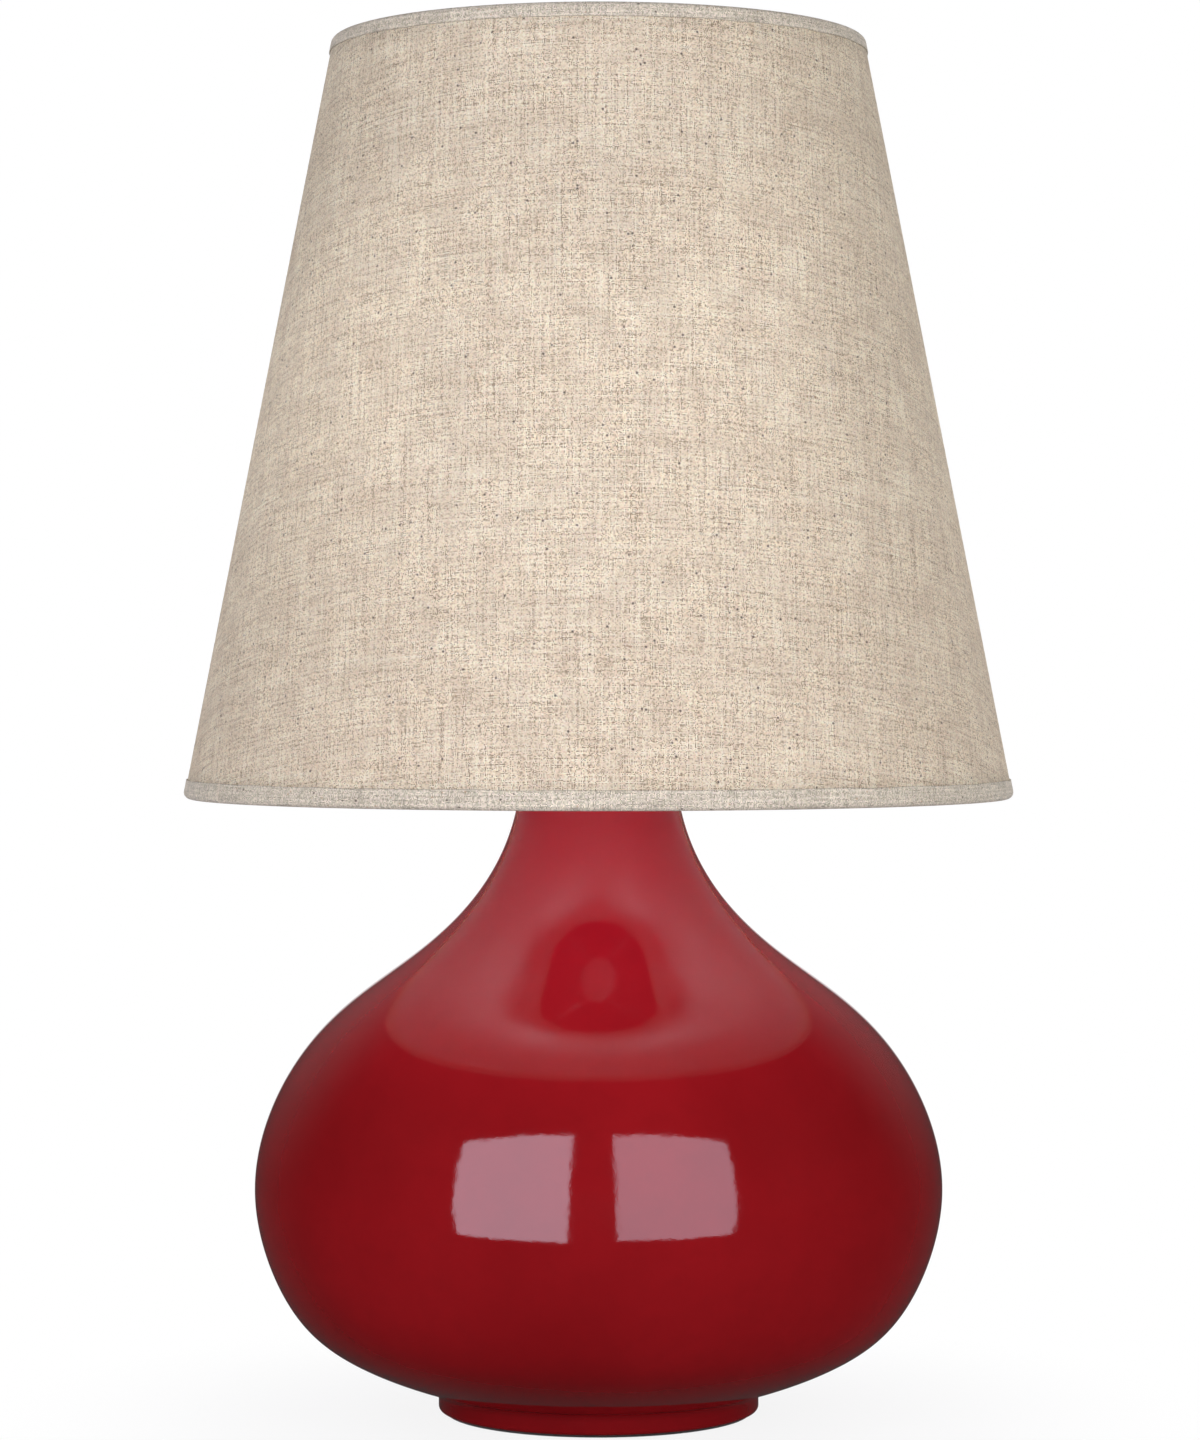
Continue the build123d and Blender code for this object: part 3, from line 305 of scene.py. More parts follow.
def ceramic_profile():
    """The closed section of the hollow body, down the outside and back up the inside."""
    shoulder, underside = body_outline()
    lip = arc((NECK_RADIUS - LIP_ROUND, NECK_TOP_Z - LIP_ROUND), LIP_ROUND, 90, 0, 6)
    below_lip = NECK_TOP_Z - 1.2 * LIP_ROUND
    side = [p for p in shoulder if p[1] < below_lip]
    turn_in = math.degrees(FOOT_SLOPE)
    fillet = arc((FOOT_RADIUS + FOOT_FILLET, FOOT_TOP_Z), FOOT_FILLET, 90 + turn_in, 180, 10)
    edge_r = FOOT_RADIUS - FOOT_EDGE_ROUND
    edge = arc((edge_r, FOOT_Z + FOOT_EDGE_ROUND), FOOT_EDGE_ROUND, 0, -90, 8)
    recess_r = FOOT_RADIUS - FOOT_RING_WIDTH
    inner = inset(side + underside[1:INNER_UNDERSIDE_STEPS + 1], WALL)
    floor_z = inner[-1][1]
    recess = [(recess_r, FOOT_Z), (recess_r, RECESS_Z)]
    pipe_hole = [(PIPE_HOLE_RADIUS, RECESS_Z), (PIPE_HOLE_RADIUS, floor_z)]
    mouth_r = NECK_RADIUS - WALL
    mouth = arc((mouth_r + LIP_ROUND, NECK_TOP_Z - LIP_ROUND), LIP_ROUND, 180, 90, 6)
    inside = [p for p in inner if p[1] < below_lip]
    outside = [*lip, *side, *underside[1:], *fillet[1:], *edge]
    return [*outside, *recess, *pipe_hole, *reversed(inside), *mouth]


def cut_round_hole(obj, place, axis, radius, depth):
    """Bores a round hole through one wall of a mesh."""
    bpy.ops.mesh.primitive_cylinder_add(vertices=64, radius=radius, depth=depth)
    cutter = bpy.context.object
    cutter.matrix_world = Matrix.Translation(place) @ axis.to_track_quat("Z", "Y").to_matrix().to_4x4()
    bore = obj.modifiers.new("bore", "BOOLEAN")
    bore.object = cutter
    bore.solver = "EXACT"
    bpy.context.view_layer.update()
    cut = bpy.data.meshes.new_from_object(obj.evaluated_get(bpy.context.evaluated_depsgraph_get()))
    obj.modifiers.clear()
    obj.data = cut
    bpy.data.objects.remove(cutter)


def ceramic_body(material):
    """The hollow glazed body with its cord hole at the back."""
    body = lathe("glazed_body", ceramic_profile(), BODY_COLUMNS)
    outward(body)
    inlet = next(m for m in frame["record"]["mounts"] if m["name"] == "cord_inlet")
    place = Vector(inlet["pos_m"])
    cut_round_hole(body, place, Vector(inlet["axis"]), CORD_HOLE_RADIUS, CORD_HOLE_DEPTH)
    stand_in(body, "ceramic_body", "base", material)


def shade_point(radius, height, angle, lift):
    """A point on the shade's cone, lift metres off its outside; angle 0 is the front."""
    out = radius + lift * math.cos(SHADE_SLOPE)
    return (out * math.sin(angle), -out * math.cos(angle), height + lift * math.sin(SHADE_SLOPE))


def linen_cover(material):
    """The linen, cut as a ring sector, bent to a cone and lapped over itself at the back."""
    lap = SEAM_OVERLAP / SHADE_BOTTOM_RADIUS
    sweep = 2 * math.pi + lap

    def angle_at(i):
        return -BACK + sweep * i / (LINEN_COLUMNS - 1)

    def radius_at(j):
        return SHADE_TOP_RADIUS + (SHADE_BOTTOM_RADIUS - SHADE_TOP_RADIUS) * j / (LINEN_ROWS - 1)

    def point(i, j):
        angle = angle_at(i)
        climb = min(max((angle - (BACK - lap)) / lap, 0), 1)
        height = SHADE_TOP_Z + (SHADE_BOTTOM_Z - SHADE_TOP_Z) * j / (LINEN_ROWS - 1)
        return shade_point(radius_at(j), height, angle, SEAM_STEP * climb)

    def flat(i, j):
        reach = radius_at(j) / math.sin(SHADE_SLOPE)
        turn = angle_at(i) * math.sin(SHADE_SLOPE)
        return (reach * math.sin(turn), reach * math.cos(turn))

    linen = grid_object("linen_cover", LINEN_COLUMNS, LINEN_ROWS, point, flat=flat)
    stand_in(linen, "shade_linen", "shade", material)


def band_section(width):
    """Middle line of a folded band as (off the linen, past the edge), from outer hem over the rim and in."""
    half = TRIM / 2
    outer = [(half, -width + width * k / BAND_STEPS) for k in range(BAND_STEPS)]
    over = arc((-TRIM_ROLL, 0), TRIM_ROLL + half, 0, 180, ROLL_STEPS)
    far = -2 * TRIM_ROLL - half
    glue = -GLUE_DEPTH - half
    return [*outer, *over, (far, -INNER_LEG), (glue, -GLUE_START), (glue, -GLUE_END)]


def offset_section(line, half):
    """The two sides of a strip with the given middle line, each half its thickness off that line."""
    sides = {1: [], -1: []}
    for k, here in enumerate(line):
        before = Vector(line[max(k - 1, 0)])
        after = Vector(line[min(k + 1, len(line) - 1)])
        way = (after - before).normalized()
        normal = Vector((way.y, -way.x))
        for side in sides:
            sides[side].append(Vector(here) + side * half * normal)
    return sides[1], sides[-1]


def folded_band(name, node, material, radius, level, upper, width, joint):
    """A linen band folded round a rim, with a lapped joint where its ends meet."""
    outer, inner = offset_section(band_section(width), TRIM / 2 * TRIM_MESH_SHARE)
    section = [*outer, *reversed(inner)]
    past = 1 if upper else -1
    lap = BAND_LAP / radius
    sweep = 2 * math.pi + lap
    lengths = [0.0]
    for a, b in zip(section, section[1:]):
        lengths.append(lengths[-1] + (b - a).length)

    def point(i, j):
        angle = joint + sweep * i / (BAND_COLUMNS - 1)
        share = (angle - joint - 2 * math.pi + lap) / lap
        climb = min(max(share, 0), 1)
        out, along = section[j]
        hem = max(0.0, 1 - abs(along + width) / HEM_ZONE)
        place = Vector((math.sin(angle) * HEM_WAVES, math.cos(angle) * HEM_WAVES, 3 * past))
        along = along + hem * (noise.noise(place) * HEM_SWAY + noise.noise(place * 5) * HEM_RIPPLE)
        outside = j < len(outer) and along > -width - OUTSIDE_SLACK and out > -OUTSIDE_DEPTH
        if outside:
            lift = noise.noise(place * 7 + Vector((5, 0, 0))) * BAND_LIFT
            out = out + (BAND_LAP_STEP * climb + lift)
        slide = past * along
        r = radius - slide * math.sin(SHADE_SLOPE) + out * math.cos(SHADE_SLOPE)
        z = level + slide * math.cos(SHADE_SLOPE) + out * math.sin(SHADE_SLOPE)
        return (r * math.sin(angle), -r * math.cos(angle), z)

    def flat(i, j):
        share = lengths[j] if j < len(lengths) else lengths[-1] + TRIM
        return (sweep * radius * i / (BAND_COLUMNS - 1), share)

    band = grid_object(name, BAND_COLUMNS, len(section), point, close_rows=True, flat=flat)
    cap_ends(band, BAND_COLUMNS, len(section))
    outward(band)
    stand_in(band, node, "shade", material)


def cap_ends(obj, columns, rows):
    """Closes the two cut ends of a strip."""
    shape = bmesh.new()
    shape.from_mesh(obj.data)
    shape.verts.ensure_lookup_table()
    for column in (0, columns - 1):
        shape.faces.new([shape.verts[column * rows + j] for j in range(rows)])
    shape.to_mesh(obj.data)
    shape.free()


def felt_disc(material):
    """The felt pad with a softly worn edge."""
    low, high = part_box("felt_pad")
    radius = high.x
    across = (FELT_CENTRE, radius * 0.5, radius - FELT_RING)
    profile = [(r, low.z) for r in across]
    profile += arc((radius - FELT_EDGE, low.z + FELT_EDGE), FELT_EDGE, -90, 0, 5)
    profile += arc((radius - FELT_EDGE, high.z - FELT_EDGE), FELT_EDGE, 0, 90, 5)
    profile += [(r, high.z) for r in reversed(across)]
    felt = lathe("felt_disc", profile, FELT_COLUMNS)
    for v in felt.data.vertices:
        place = Vector((v.co.x * FELT_GRAIN, v.co.y * FELT_GRAIN, v.co.z * FELT_GRAIN))
        near_edge = (Vector(v.co[:2]).length / radius) ** 6
        shrink = 1 - FELT_WEAR * (0.5 + 0.5 * noise.noise(place)) * near_edge
        v.co.x *= shrink
        v.co.y *= shrink
    outward(felt)
    stand_in(felt, "felt_pad", "base", material)


def rolled_thread(angle, height, start, end):
    """Depth of a rolled screw thread, 0 at its crest and 1 in its root, run out at both ends."""
    wave = 0.5 - 0.5 * math.cos(2 * math.pi * (height / THREAD_PITCH - angle / (2 * math.pi)))
    near_end = min(height - start, end - height) / THREAD_PITCH
    return wave * min(max(near_end, 0), 1)


def threaded_tube(name, low, high, steps, radius_at):
    """A thin metal tube with a rolled thread; radius_at(angle, height) gives its outside radius."""
    levels = [low + (high - low) * k / steps for k in range(steps + 1)]
    rows = len(levels)

    def point(i, j):
        angle = 2 * math.pi * i / TUBE_COLUMNS
        outer = j < rows
        height = levels[j] if outer else levels[2 * rows - 1 - j]
        radius = radius_at(angle, height) - (0 if outer else SHEET_METAL)
        return (radius * math.cos(angle), radius * math.sin(angle), height)

    tube = grid_object(name, TUBE_COLUMNS, 2 * rows, point, close_columns=True, close_rows=True)
    outward(tube)
    return tube


def bulb_cap(material):
    """The bulb's screw cap with its rolled thread and drawn-in lower end."""
    low, high = CAP_LOW.z, CAP_HIGH.z
    crest = CAP_HIGH.x
    shoulder = low + CAP_SHOULDER

    def radius_at(angle, height):
        narrow = min(max((height - low) / (shoulder - low), 0), 1)
        taper = CAP_TAPER * (1 - math.sqrt(1 - (1 - narrow) ** 2)) if narrow < 1 else 0
        return crest - taper - THREAD_DEPTH * rolled_thread(angle, height, shoulder, high - CAP_COLLAR)

    cap = threaded_tube("threaded_cap", low, high, CAP_STEPS, radius_at)
    stand_in(cap, "bulb_cap", "bulb", material)


def screw_shell(material):
    """The socket's screw shell, rolled to the same thread as the bulb's cap, with its open floor."""
    low, high = SHELL_LOW.z, SHELL_HIGH.z
    bore = CAP_HIGH.x + THREAD_GAP
    outside = bore + SHEET_METAL

    def radius_at(angle, height):
        near_floor = 1 - min(max((height - low) / SHELL_FLOOR, 0), 1)
        depth = rolled_thread(angle, height, low + SHELL_THREAD_START, high - SHELL_THREAD_END)
        return outside - THREAD_DEPTH * depth - SHELL_FLOOR_REACH * near_floor**3

    shell = threaded_tube("threaded_shell", low, high, SHELL_STEPS, radius_at)
    stand_in(shell, "screw_shell", "base", material)


class Paint:
    """A shader that is built up node by node: that of a new material, by its name, or that of a world."""

    def __init__(self, owner, output="OutputMaterial"):
        self.owner = bpy.data.materials.new(owner) if isinstance(owner, str) else owner
        self.owner.use_nodes = True
        self.output = output
        self.tree = self.owner.node_tree
        self.tree.nodes.clear()

    def node(self, kind, inputs=None, **settings):
        node = self.tree.nodes.new("ShaderNode" + kind)
        for key, value in settings.items():
            setattr(node, key, value)
        for key, value in (inputs or {}).items():
            self.plug(node.inputs[key], value)
        return node

    def plug(self, socket, value):
        if isinstance(value, bpy.types.NodeSocket):
            self.tree.links.new(value, socket)
        elif socket.type == "RGBA" and len(value) == 3:
            socket.default_value = (*value, 1)
        else:
            socket.default_value = value

    def math(self, operation, first, second=0.0, third=0.0):
        return self.node("Math", {0: first, 1: second, 2: third}, operation=operation).outputs[0]

    def place(self):
        return self.node("TexCoord").outputs["Object"]

    def split(self, vector):
        return self.node("SeparateXYZ", {0: vector}).outputs

    def join(self, x, y, z=0.0):
        return self.node("CombineXYZ", {0: x, 1: y, 2: z}).outputs[0]

    def stretch(self, vector, scale):
        return self.node("VectorMath", {0: vector, 1: scale}, operation="MULTIPLY").outputs[0]

    def noise(self, vector, scale, detail=2.0, roughness=0.5):
        inputs = {"Vector": vector, "Scale": scale, "Detail": detail, "Roughness": roughness}
        return self.node("TexNoise", inputs).outputs[0]

    def ramp(self, factor, *stops):
        node = self.node("ValToRGB", {0: factor})
        band = node.color_ramp.elements
        while len(band) < len(stops):
            band.new(0.5)
        for element, (where, colour) in zip(band, stops):
            element.position = where
            element.color = (*colour, 1)
        return node.outputs[0]

    def span(self, value, low, high, start=0.0, end=1.0):
        inputs = {0: value, 1: low, 2: high, 3: start, 4: end}
        return self.node("MapRange", inputs, interpolation_type="SMOOTHSTEP").outputs[0]

    def mix(self, factor, first, second, blend="MIX"):
        node = self.node("Mix", data_type="RGBA", blend_type=blend)
        self.plug(node.inputs[0], factor)
        self.plug(node.inputs[6], first)
        self.plug(node.inputs[7], second)
        return node.outputs[2]

    def bump(self, height, strength, distance, normal=None):
        inputs = {"Height": height, "Strength": strength, "Distance": distance}
        if normal:
            inputs["Normal"] = normal
        return self.node("Bump", inputs).outputs[0]

    def surface(self, inputs):
        return self.node("BsdfPrincipled", inputs).outputs[0]

    def blend(self, factor, first, second):
        return self.node("MixShader", {0: factor, 1: first, 2: second}).outputs[0]

    def done(self, shader):
        self.node(self.output, {"Surface": shader})
        return self.owner


def red_glaze():
    """Deep ruby glaze that pools darker in places, with painted light that turns it paler and pinker from the
    shoulder up to the neck, and the faint ripple of a fired surface.
    """
    p = Paint("ruby_glaze")
    place = p.place()
    pool = p.noise(place, 11, 3, 0.55)
    colour = p.ramp(pool, (0.32, (0.180, 0.0038, 0.0054)), (0.68, (0.230, 0.0055, 0.0076)))
    cloud = p.noise(place, 90, 3, 0.6)
    colour = p.mix(p.span(cloud, 0.35, 0.75, 0, 0.22), colour, (0.150, 0.003, 0.0043))
    # Painted light and reflection: a paler, pinker red from the shoulder up to the neck, standing in for the
    # light that reaches the neck under the shade
    thin = p.span(p.split(place)[2], BELLY_Z + 0.03, NECK_TOP_Z - 0.02, 0.0, 0.75)
    colour = p.mix(thin, colour, (0.44, 0.0055, 0.0170))
    ripple = p.noise(place, 70, 2, 0.5)
    grain = p.noise(place, 400, 3, 0.6)
    normal = p.bump(ripple, 1.0, 0.00005)
    normal = p.bump(grain, 1.0, 0.000022, normal)
    rough = p.span(cloud, 0.3, 0.7, 0.04, 0.065)
    inputs = {"Base Color": colour, "Roughness": rough, "Normal": normal, "IOR": 1.6}
    return p.done(p.surface(inputs))


def weave(p, thread, wander):
    """Place, tone, relief, slubs and a chance colour per crossing of a plain weave on the flat cloth."""
    cloth = p.node("UVMap", uv_map="cloth").outputs[0]
    drift = p.node("TexNoise", {"Vector": cloth, "Scale": 130.0, "Detail": 2.0}).outputs[1]
    drift = p.node("VectorMath", {0: drift, 1: (0.5, 0.5, 0.5)}, operation="SUBTRACT").outputs[0]
    drift = p.stretch(drift, (wander, wander, 0))
    threads = p.stretch(cloth, (1 / thread, 1 / thread, 0))
    threads = p.node("VectorMath", {0: threads, 1: drift}, operation="ADD").outputs[0]
    x, y, _ = p.split(threads)
    column = p.math("FLOOR", x)
    row = p.math("FLOOR", y)
    over = p.math("FLOORED_MODULO", p.math("ADD", column, row), 2.0)
    along_warp = p.join(p.math("MULTIPLY", column, WARP_STEP), p.math("MULTIPLY", y, WARP_STREAK))
    along_weft = p.join(p.math("MULTIPLY", x, WEFT_STREAK), p.math("MULTIPLY", row, WEFT_STEP))
    warp = p.noise(along_warp, 1.0, 3, 0.7)
    weft = p.noise(along_weft, 1.0, 3, 0.7)
    chance, hue = p.node("TexWhiteNoise", {"Vector": p.join(column, row)}, noise_dimensions="2D").outputs
    tone = p.math("ADD", p.math("MULTIPLY", over, p.math("SUBTRACT", warp, weft)), weft)
    tone = p.math("MULTIPLY_ADD", p.math("SUBTRACT", tone, 0.5), 1.85, 0.5)
    tone = p.math("ADD", tone, p.math("MULTIPLY", p.math("SUBTRACT", chance, 0.5), 0.55))
    slub = p.math("MAXIMUM", p.span(warp, 0.62, 0.80), p.span(weft, 0.62, 0.80))
    round_x = p.math("SINE", p.math("MULTIPLY", p.math("FRACT", x), math.pi))
    round_y = p.math("SINE", p.math("MULTIPLY", p.math("FRACT", y), math.pi))
    on_warp = p.math("MULTIPLY", over, p.math("SUBTRACT", round_x, round_y))
    relief = p.math("ADD", on_warp, round_y)
    return cloth, tone, relief, slub, hue


def flecked(p, colour, cloth):
    """Colour with the sparse brown and dark flecks of unbleached flax, each a spot in a cell of its own."""
    for size, share, strength, fleck in FLECKS:
        cells = {"Vector": cloth, "Scale": 1 / size, "Randomness": 1.0}
        spots = p.node("TexVoronoi", cells, voronoi_dimensions="2D").outputs
        pick = p.math("LESS_THAN", p.split(spots["Color"])[0], share)
        near = p.span(spots["Distance"], 0.16, 0.40, strength, 0.0)
        colour = p.mix(p.math("MULTIPLY", near, pick), colour, fleck)
    return colour


def linen():
    """Natural linen: uneven threads, slubs, flecks and cloudy patches, letting some light through."""
    p = Paint("natural_linen")
    cloth, tone, relief, slub, hue = weave(p, THREAD, 0.5)
    dark = (0.12, (0.30, 0.212, 0.120))
    middle = (0.46, (0.92, 0.762, 0.530))
    pale = (0.82, (1.00, 0.980, 0.765))
    colour = p.ramp(tone, dark, middle, pale)
    colour = p.mix(p.math("MULTIPLY", slub, 0.5), colour, (0.98, 0.88, 0.70))
    # Painted shade: a darker brown where the threads dip, between the crossings of the weave
    shade_between_threads = p.span(relief, 0.0, 0.45, 0.34, 0.0)
    colour = p.mix(shade_between_threads, colour, (0.42, 0.325, 0.215))
    patch = p.noise(cloth, 60, 4, 0.6)
    colour = p.mix(p.span(patch, 0.34, 0.66, 0.30, 0.0), colour, (0.58, 0.46, 0.32))
    colour = p.mix(0.08, colour, hue, "MULTIPLY")
    colour = flecked(p, colour, cloth)
    height = p.math("ADD", relief, p.math("MULTIPLY", slub, 0.8))
    normal = p.bump(height, 0.5, 0.00010)
    inputs = {
        "Base Color": colour,
        "Roughness": 0.88,
        "Specular IOR Level": 0.25,
        "Sheen Weight": 0.12,
        "Sheen Roughness": 0.6,
        "Normal": normal,
    }
    through = p.node("BsdfTranslucent", {"Color": colour, "Normal": normal}).outputs[0]
    return p.done(p.blend(0.38, p.surface(inputs), through))


def linen_band():
    """The bands' greyer linen tape."""
    p = Paint("linen_band")
    cloth, tone, relief, slub, hue = weave(p, BAND_THREAD, 0.6)
    dark = (0.15, (0.25, 0.220, 0.155))
    middle = (0.50, (0.540, 0.480, 0.350))
    pale = (0.85, (0.79, 0.720, 0.55))
    colour = p.ramp(tone, dark, middle, pale)
    colour = p.mix(p.math("MULTIPLY", slub, 0.4), colour, (0.78, 0.71, 0.57))
    # Painted shade: a darker grey-brown where the tape's threads dip, between the crossings of the weave
    shade_between_threads = p.span(relief, 0.0, 0.45, 0.40, 0.0)
    colour = p.mix(shade_between_threads, colour, (0.30, 0.255, 0.19))
    patch = p.noise(cloth, 45, 3, 0.6)
    colour = p.mix(p.span(patch, 0.3, 0.72, 0.20, 0.0), colour, (0.42, 0.36, 0.27))
    colour = p.mix(0.08, colour, hue, "MULTIPLY")
    colour = flecked(p, colour, cloth)
    normal = p.bump(relief, 0.5, 0.00010)
    inputs = {
        "Base Color": colour,
        "Roughness": 0.9,
        "Specular IOR Level": 0.25,
        "Sheen Weight": 0.12,
        "Sheen Roughness": 0.6,
        "Normal": normal,
    }
    return p.done(p.surface(inputs))


def styrene():
    """The milky stiff liner behind the linen."""
    p = Paint("milky_liner")
    place = p.place()
    cloud = p.noise(place, 40, 3, 0.6)
    colour = p.ramp(cloud, (0.3, (0.84, 0.845, 0.85)), (0.7, (0.885, 0.89, 0.895)))
    normal = p.bump(p.noise(place, 900, 2), 0.3, 0.00005)
    inputs = {"Base Color": colour, "Roughness": 0.55, "Specular IOR Level": 0.4, "Normal": normal}
    through = p.node("BsdfTranslucent", {"Color": colour}).outputs[0]
    return p.done(p.blend(0.6, p.surface(inputs), through))


def felt():
    """Short dark wool felt."""
    p = Paint("wool_felt")
    place = p.place()
    fibre = p.noise(place, 1500, 3, 0.7)
    cloud = p.noise(place, 120, 3, 0.6)
    colour = p.ramp(fibre, (0.3, (0.020, 0.018, 0.016)), (0.7, (0.075, 0.066, 0.058)))
    colour = p.mix(p.span(cloud, 0.3, 0.7, 0, 0.4), colour, (0.045, 0.040, 0.036))
    normal = p.bump(fibre, 0.9, 0.0003)
    inputs = {"Base Color": colour, "Roughness": 0.95, "Sheen Weight": 0.35, "Normal": normal}
    return p.done(p.surface(inputs))


def rubber(name, colour):
    """Moulded rubber with a fine matt skin."""
    p = Paint(name)
    place = p.place()
    grain = p.noise(place, 1400, 2)
    cloud = p.noise(place, 150, 3, 0.6)
    dark = tuple(0.65 * c for c in colour)
    tint = p.ramp(cloud, (0.3, dark), (0.7, colour))
    inputs = {
        "Base Color": tint,
        "Roughness": p.span(cloud, 0.3, 0.7, 0.55, 0.72),
        "Normal": p.bump(grain, 0.4, 0.00006),
    }
    return p.done(p.surface(inputs))


def turned_metal(name, colour, shine):
    """Metal with the fine rings of a lathe and faint smudges."""
    p = Paint(name)
    place = p.place()
    rings = p.noise(p.stretch(place, LATHE_RINGS), 1.0, 2, 0.6)
    smudge = p.noise(place, 130, 3, 0.6)
    dull = tuple(0.80 * c for c in colour)
    tint = p.ramp(smudge, (0.3, dull), (0.65, colour))
    rough = p.math("ADD", p.span(smudge, 0.3, 0.75, shine + 0.10, shine), p.math("MULTIPLY", rings, 0.08))
    normal = p.bump(rings, 0.25, 0.00003)
    inputs = {"Base Color": tint, "Metallic": 1.0, "Roughness": rough, "Normal": normal}
    return p.done(p.surface(inputs))


def moulded(name, colour, shine):
    """Dark moulded plastic with a slightly uneven gloss."""
    p = Paint(name)
    place = p.place()
    cloud = p.noise(place, 220, 3, 0.6)
    grain = p.noise(place, 2200, 2)
    pale = tuple(1.5 * c for c in colour)
    tint = p.ramp(cloud, (0.35, colour), (0.75, pale))
    inputs = {
        "Base Color": tint,
        "Roughness": p.span(cloud, 0.3, 0.7, shine, shine + 0.12),
        "Normal": p.bump(grain, 0.25, 0.00004),
    }
    return p.done(p.surface(inputs))


def card():
    """Grey-brown pressed card."""
    p = Paint("pressed_card")
    place = p.place()
    fibre = p.noise(p.stretch(place, (700, 700, 1800)), 1.0, 3, 0.7)
    colour = p.ramp(fibre, (0.3, (0.25, 0.205, 0.155)), (0.7, (0.40, 0.345, 0.275)))
    inputs = {"Base Color": colour, "Roughness": 0.85, "Normal": p.bump(fibre, 0.4, 0.00006)}
    return p.done(p.surface(inputs))


def enamel_wire():
    """White enamel on steel wire, thin and greyer in places."""
    p = Paint("white_enamel")
    place = p.place()
    cloud = p.noise(place, 90, 3, 0.6)
    colour = p.ramp(cloud, (0.3, (0.70, 0.685, 0.65)), (0.65, (0.82, 0.81, 0.78)))
    ripple = p.noise(place, 500, 2)
    inputs = {
        "Base Color": colour,
        "Roughness": p.span(cloud, 0.3, 0.7, 0.38, 0.26),
        "Normal": p.bump(ripple, 0.3, 0.00005),
    }
    return p.done(p.surface(inputs))


def frosted_glass():
    """Half-clear frosted bulb glass, a little darker towards its neck."""
    p = Paint("frosted_glass")
    place = p.place()
    frost = p.noise(place, 700, 3, 0.6)
    low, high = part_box("bulb_glass")
    crown = p.span(p.split(place)[2], low.z, high.z - 0.02)
    colour = p.mix(crown, (0.66, 0.66, 0.65), (0.74, 0.745, 0.74))
    colour = p.mix(p.span(frost, 0.3, 0.7, 0.0, 0.3), colour, (0.70, 0.70, 0.69))
    inputs = {
        "Base Color": colour,
        "Roughness": p.span(frost, 0.3, 0.7, 0.30, 0.40),
        "Transmission Weight": 0.55,
        "IOR": 1.45,
        "Normal": p.bump(frost, 0.2, 0.00004),
    }
    return p.done(p.surface(inputs))


def clear_glass(name, colour):
    """Smooth pressed glass with faint striae."""
    p = Paint(name)
    place = p.place()
    striae = p.noise(p.stretch(place, (300, 300, 60)), 1.0, 2)
    pale = tuple(min(1.0, 1.08 * c) for c in colour)
    inputs = {
        "Base Color": p.ramp(striae, (0.3, colour), (0.7, pale)),
        "Roughness": p.span(striae, 0.3, 0.7, 0.03, 0.08),
        "Transmission Weight": 1.0,
        "IOR": 1.5,
        "Normal": p.bump(striae, 0.2, 0.00003),
    }
    return p.done(p.surface(inputs))


def all_materials():
    """One finished material for each of the record's slots."""
    return {
        "red_glaze": red_glaze(),
        "felt": felt(),
        "bushing_rubber": rubber("brown_rubber", (0.060, 0.048, 0.040)),
        "washer_rubber": rubber("black_rubber", (0.035, 0.035, 0.036)),
        "zinc_steel": turned_metal("zinc_steel", (0.50, 0.49, 0.475), 0.38),
        "nickel": turned_metal("satin_nickel", (0.50, 0.475, 0.44), 0.36),
        "socket_nickel": turned_metal("bright_nickel", (0.54, 0.52, 0.485), 0.28),
        "card": card(),
        "phenolic": moulded("dark_phenolic", (0.022, 0.018, 0.016), 0.22),
        "contact_brass": turned_metal("contact_brass", (0.78, 0.58, 0.28), 0.22),
        "knob_plastic": moulded("knob_plastic", (0.026, 0.022, 0.019), 0.32),
        "bulb_frost": frosted_glass(),
        "bulb_aluminium": turned_metal("cap_aluminium", (0.76, 0.76, 0.765), 0.26),
        "bulb_vitrite": moulded("black_vitrite", (0.012, 0.012, 0.016), 0.08),
        "clear_glass": clear_glass("stem_glass", (0.90, 0.93, 0.92)),
        "fine_wire": turned_metal("fine_wire", (0.46, 0.45, 0.44), 0.35),
        "linen": linen(),
        "linen_trim": linen_band(),
        "styrene": styrene(),
        "white_wire": enamel_wire(),
    }


def dress_nodes(materials):
    """Gives every CAD node the material of its slot."""
    for name, obj in NODES.items():
        for holder in obj.material_slots:
            holder.material = materials[SLOT_OF[name]]


def floor_paint():
    """A pale floor that lights the lamp from below and shows little more of itself than the lamp's shadow."""
    p = Paint("pale_floor")
    place = p.place()
    speck = p.noise(place, 30, 3, 0.6)
    colour = p.ramp(speck, (0.3, (0.66, 0.66, 0.66)), (0.7, (0.70, 0.70, 0.70)))
    base = p.surface({"Base Color": colour, "Roughness": 0.9})
    rays = p.node("LightPath").outputs
    away = p.node("VectorMath", {0: place}, operation="LENGTH").outputs["Value"]
    seen = p.math("MULTIPLY", rays["Is Camera Ray"], p.span(away, 0.07, 0.28, 0.88, 1.0))
    mirrored = p.math("MAXIMUM", rays["Is Glossy Ray"], rays["Is Transmission Ray"])
    clear = p.math("MAXIMUM", seen, mirrored)
    through = p.node("BsdfTransparent").outputs[0]
    return p.done(p.blend(clear, base, through))


def floor():
    """The round table top under the lamp."""

    def point(i, j):
        angle = 2 * math.pi * i / FLOOR_COLUMNS
        return (FLOOR_RINGS[j] * math.sin(angle), FLOOR_RINGS[j] * math.cos(angle), -FLOOR_DROP)

    table = grid_object("floor", FLOOR_COLUMNS, len(FLOOR_RINGS), point, close_columns=True)
    table.data.materials.append(floor_paint())


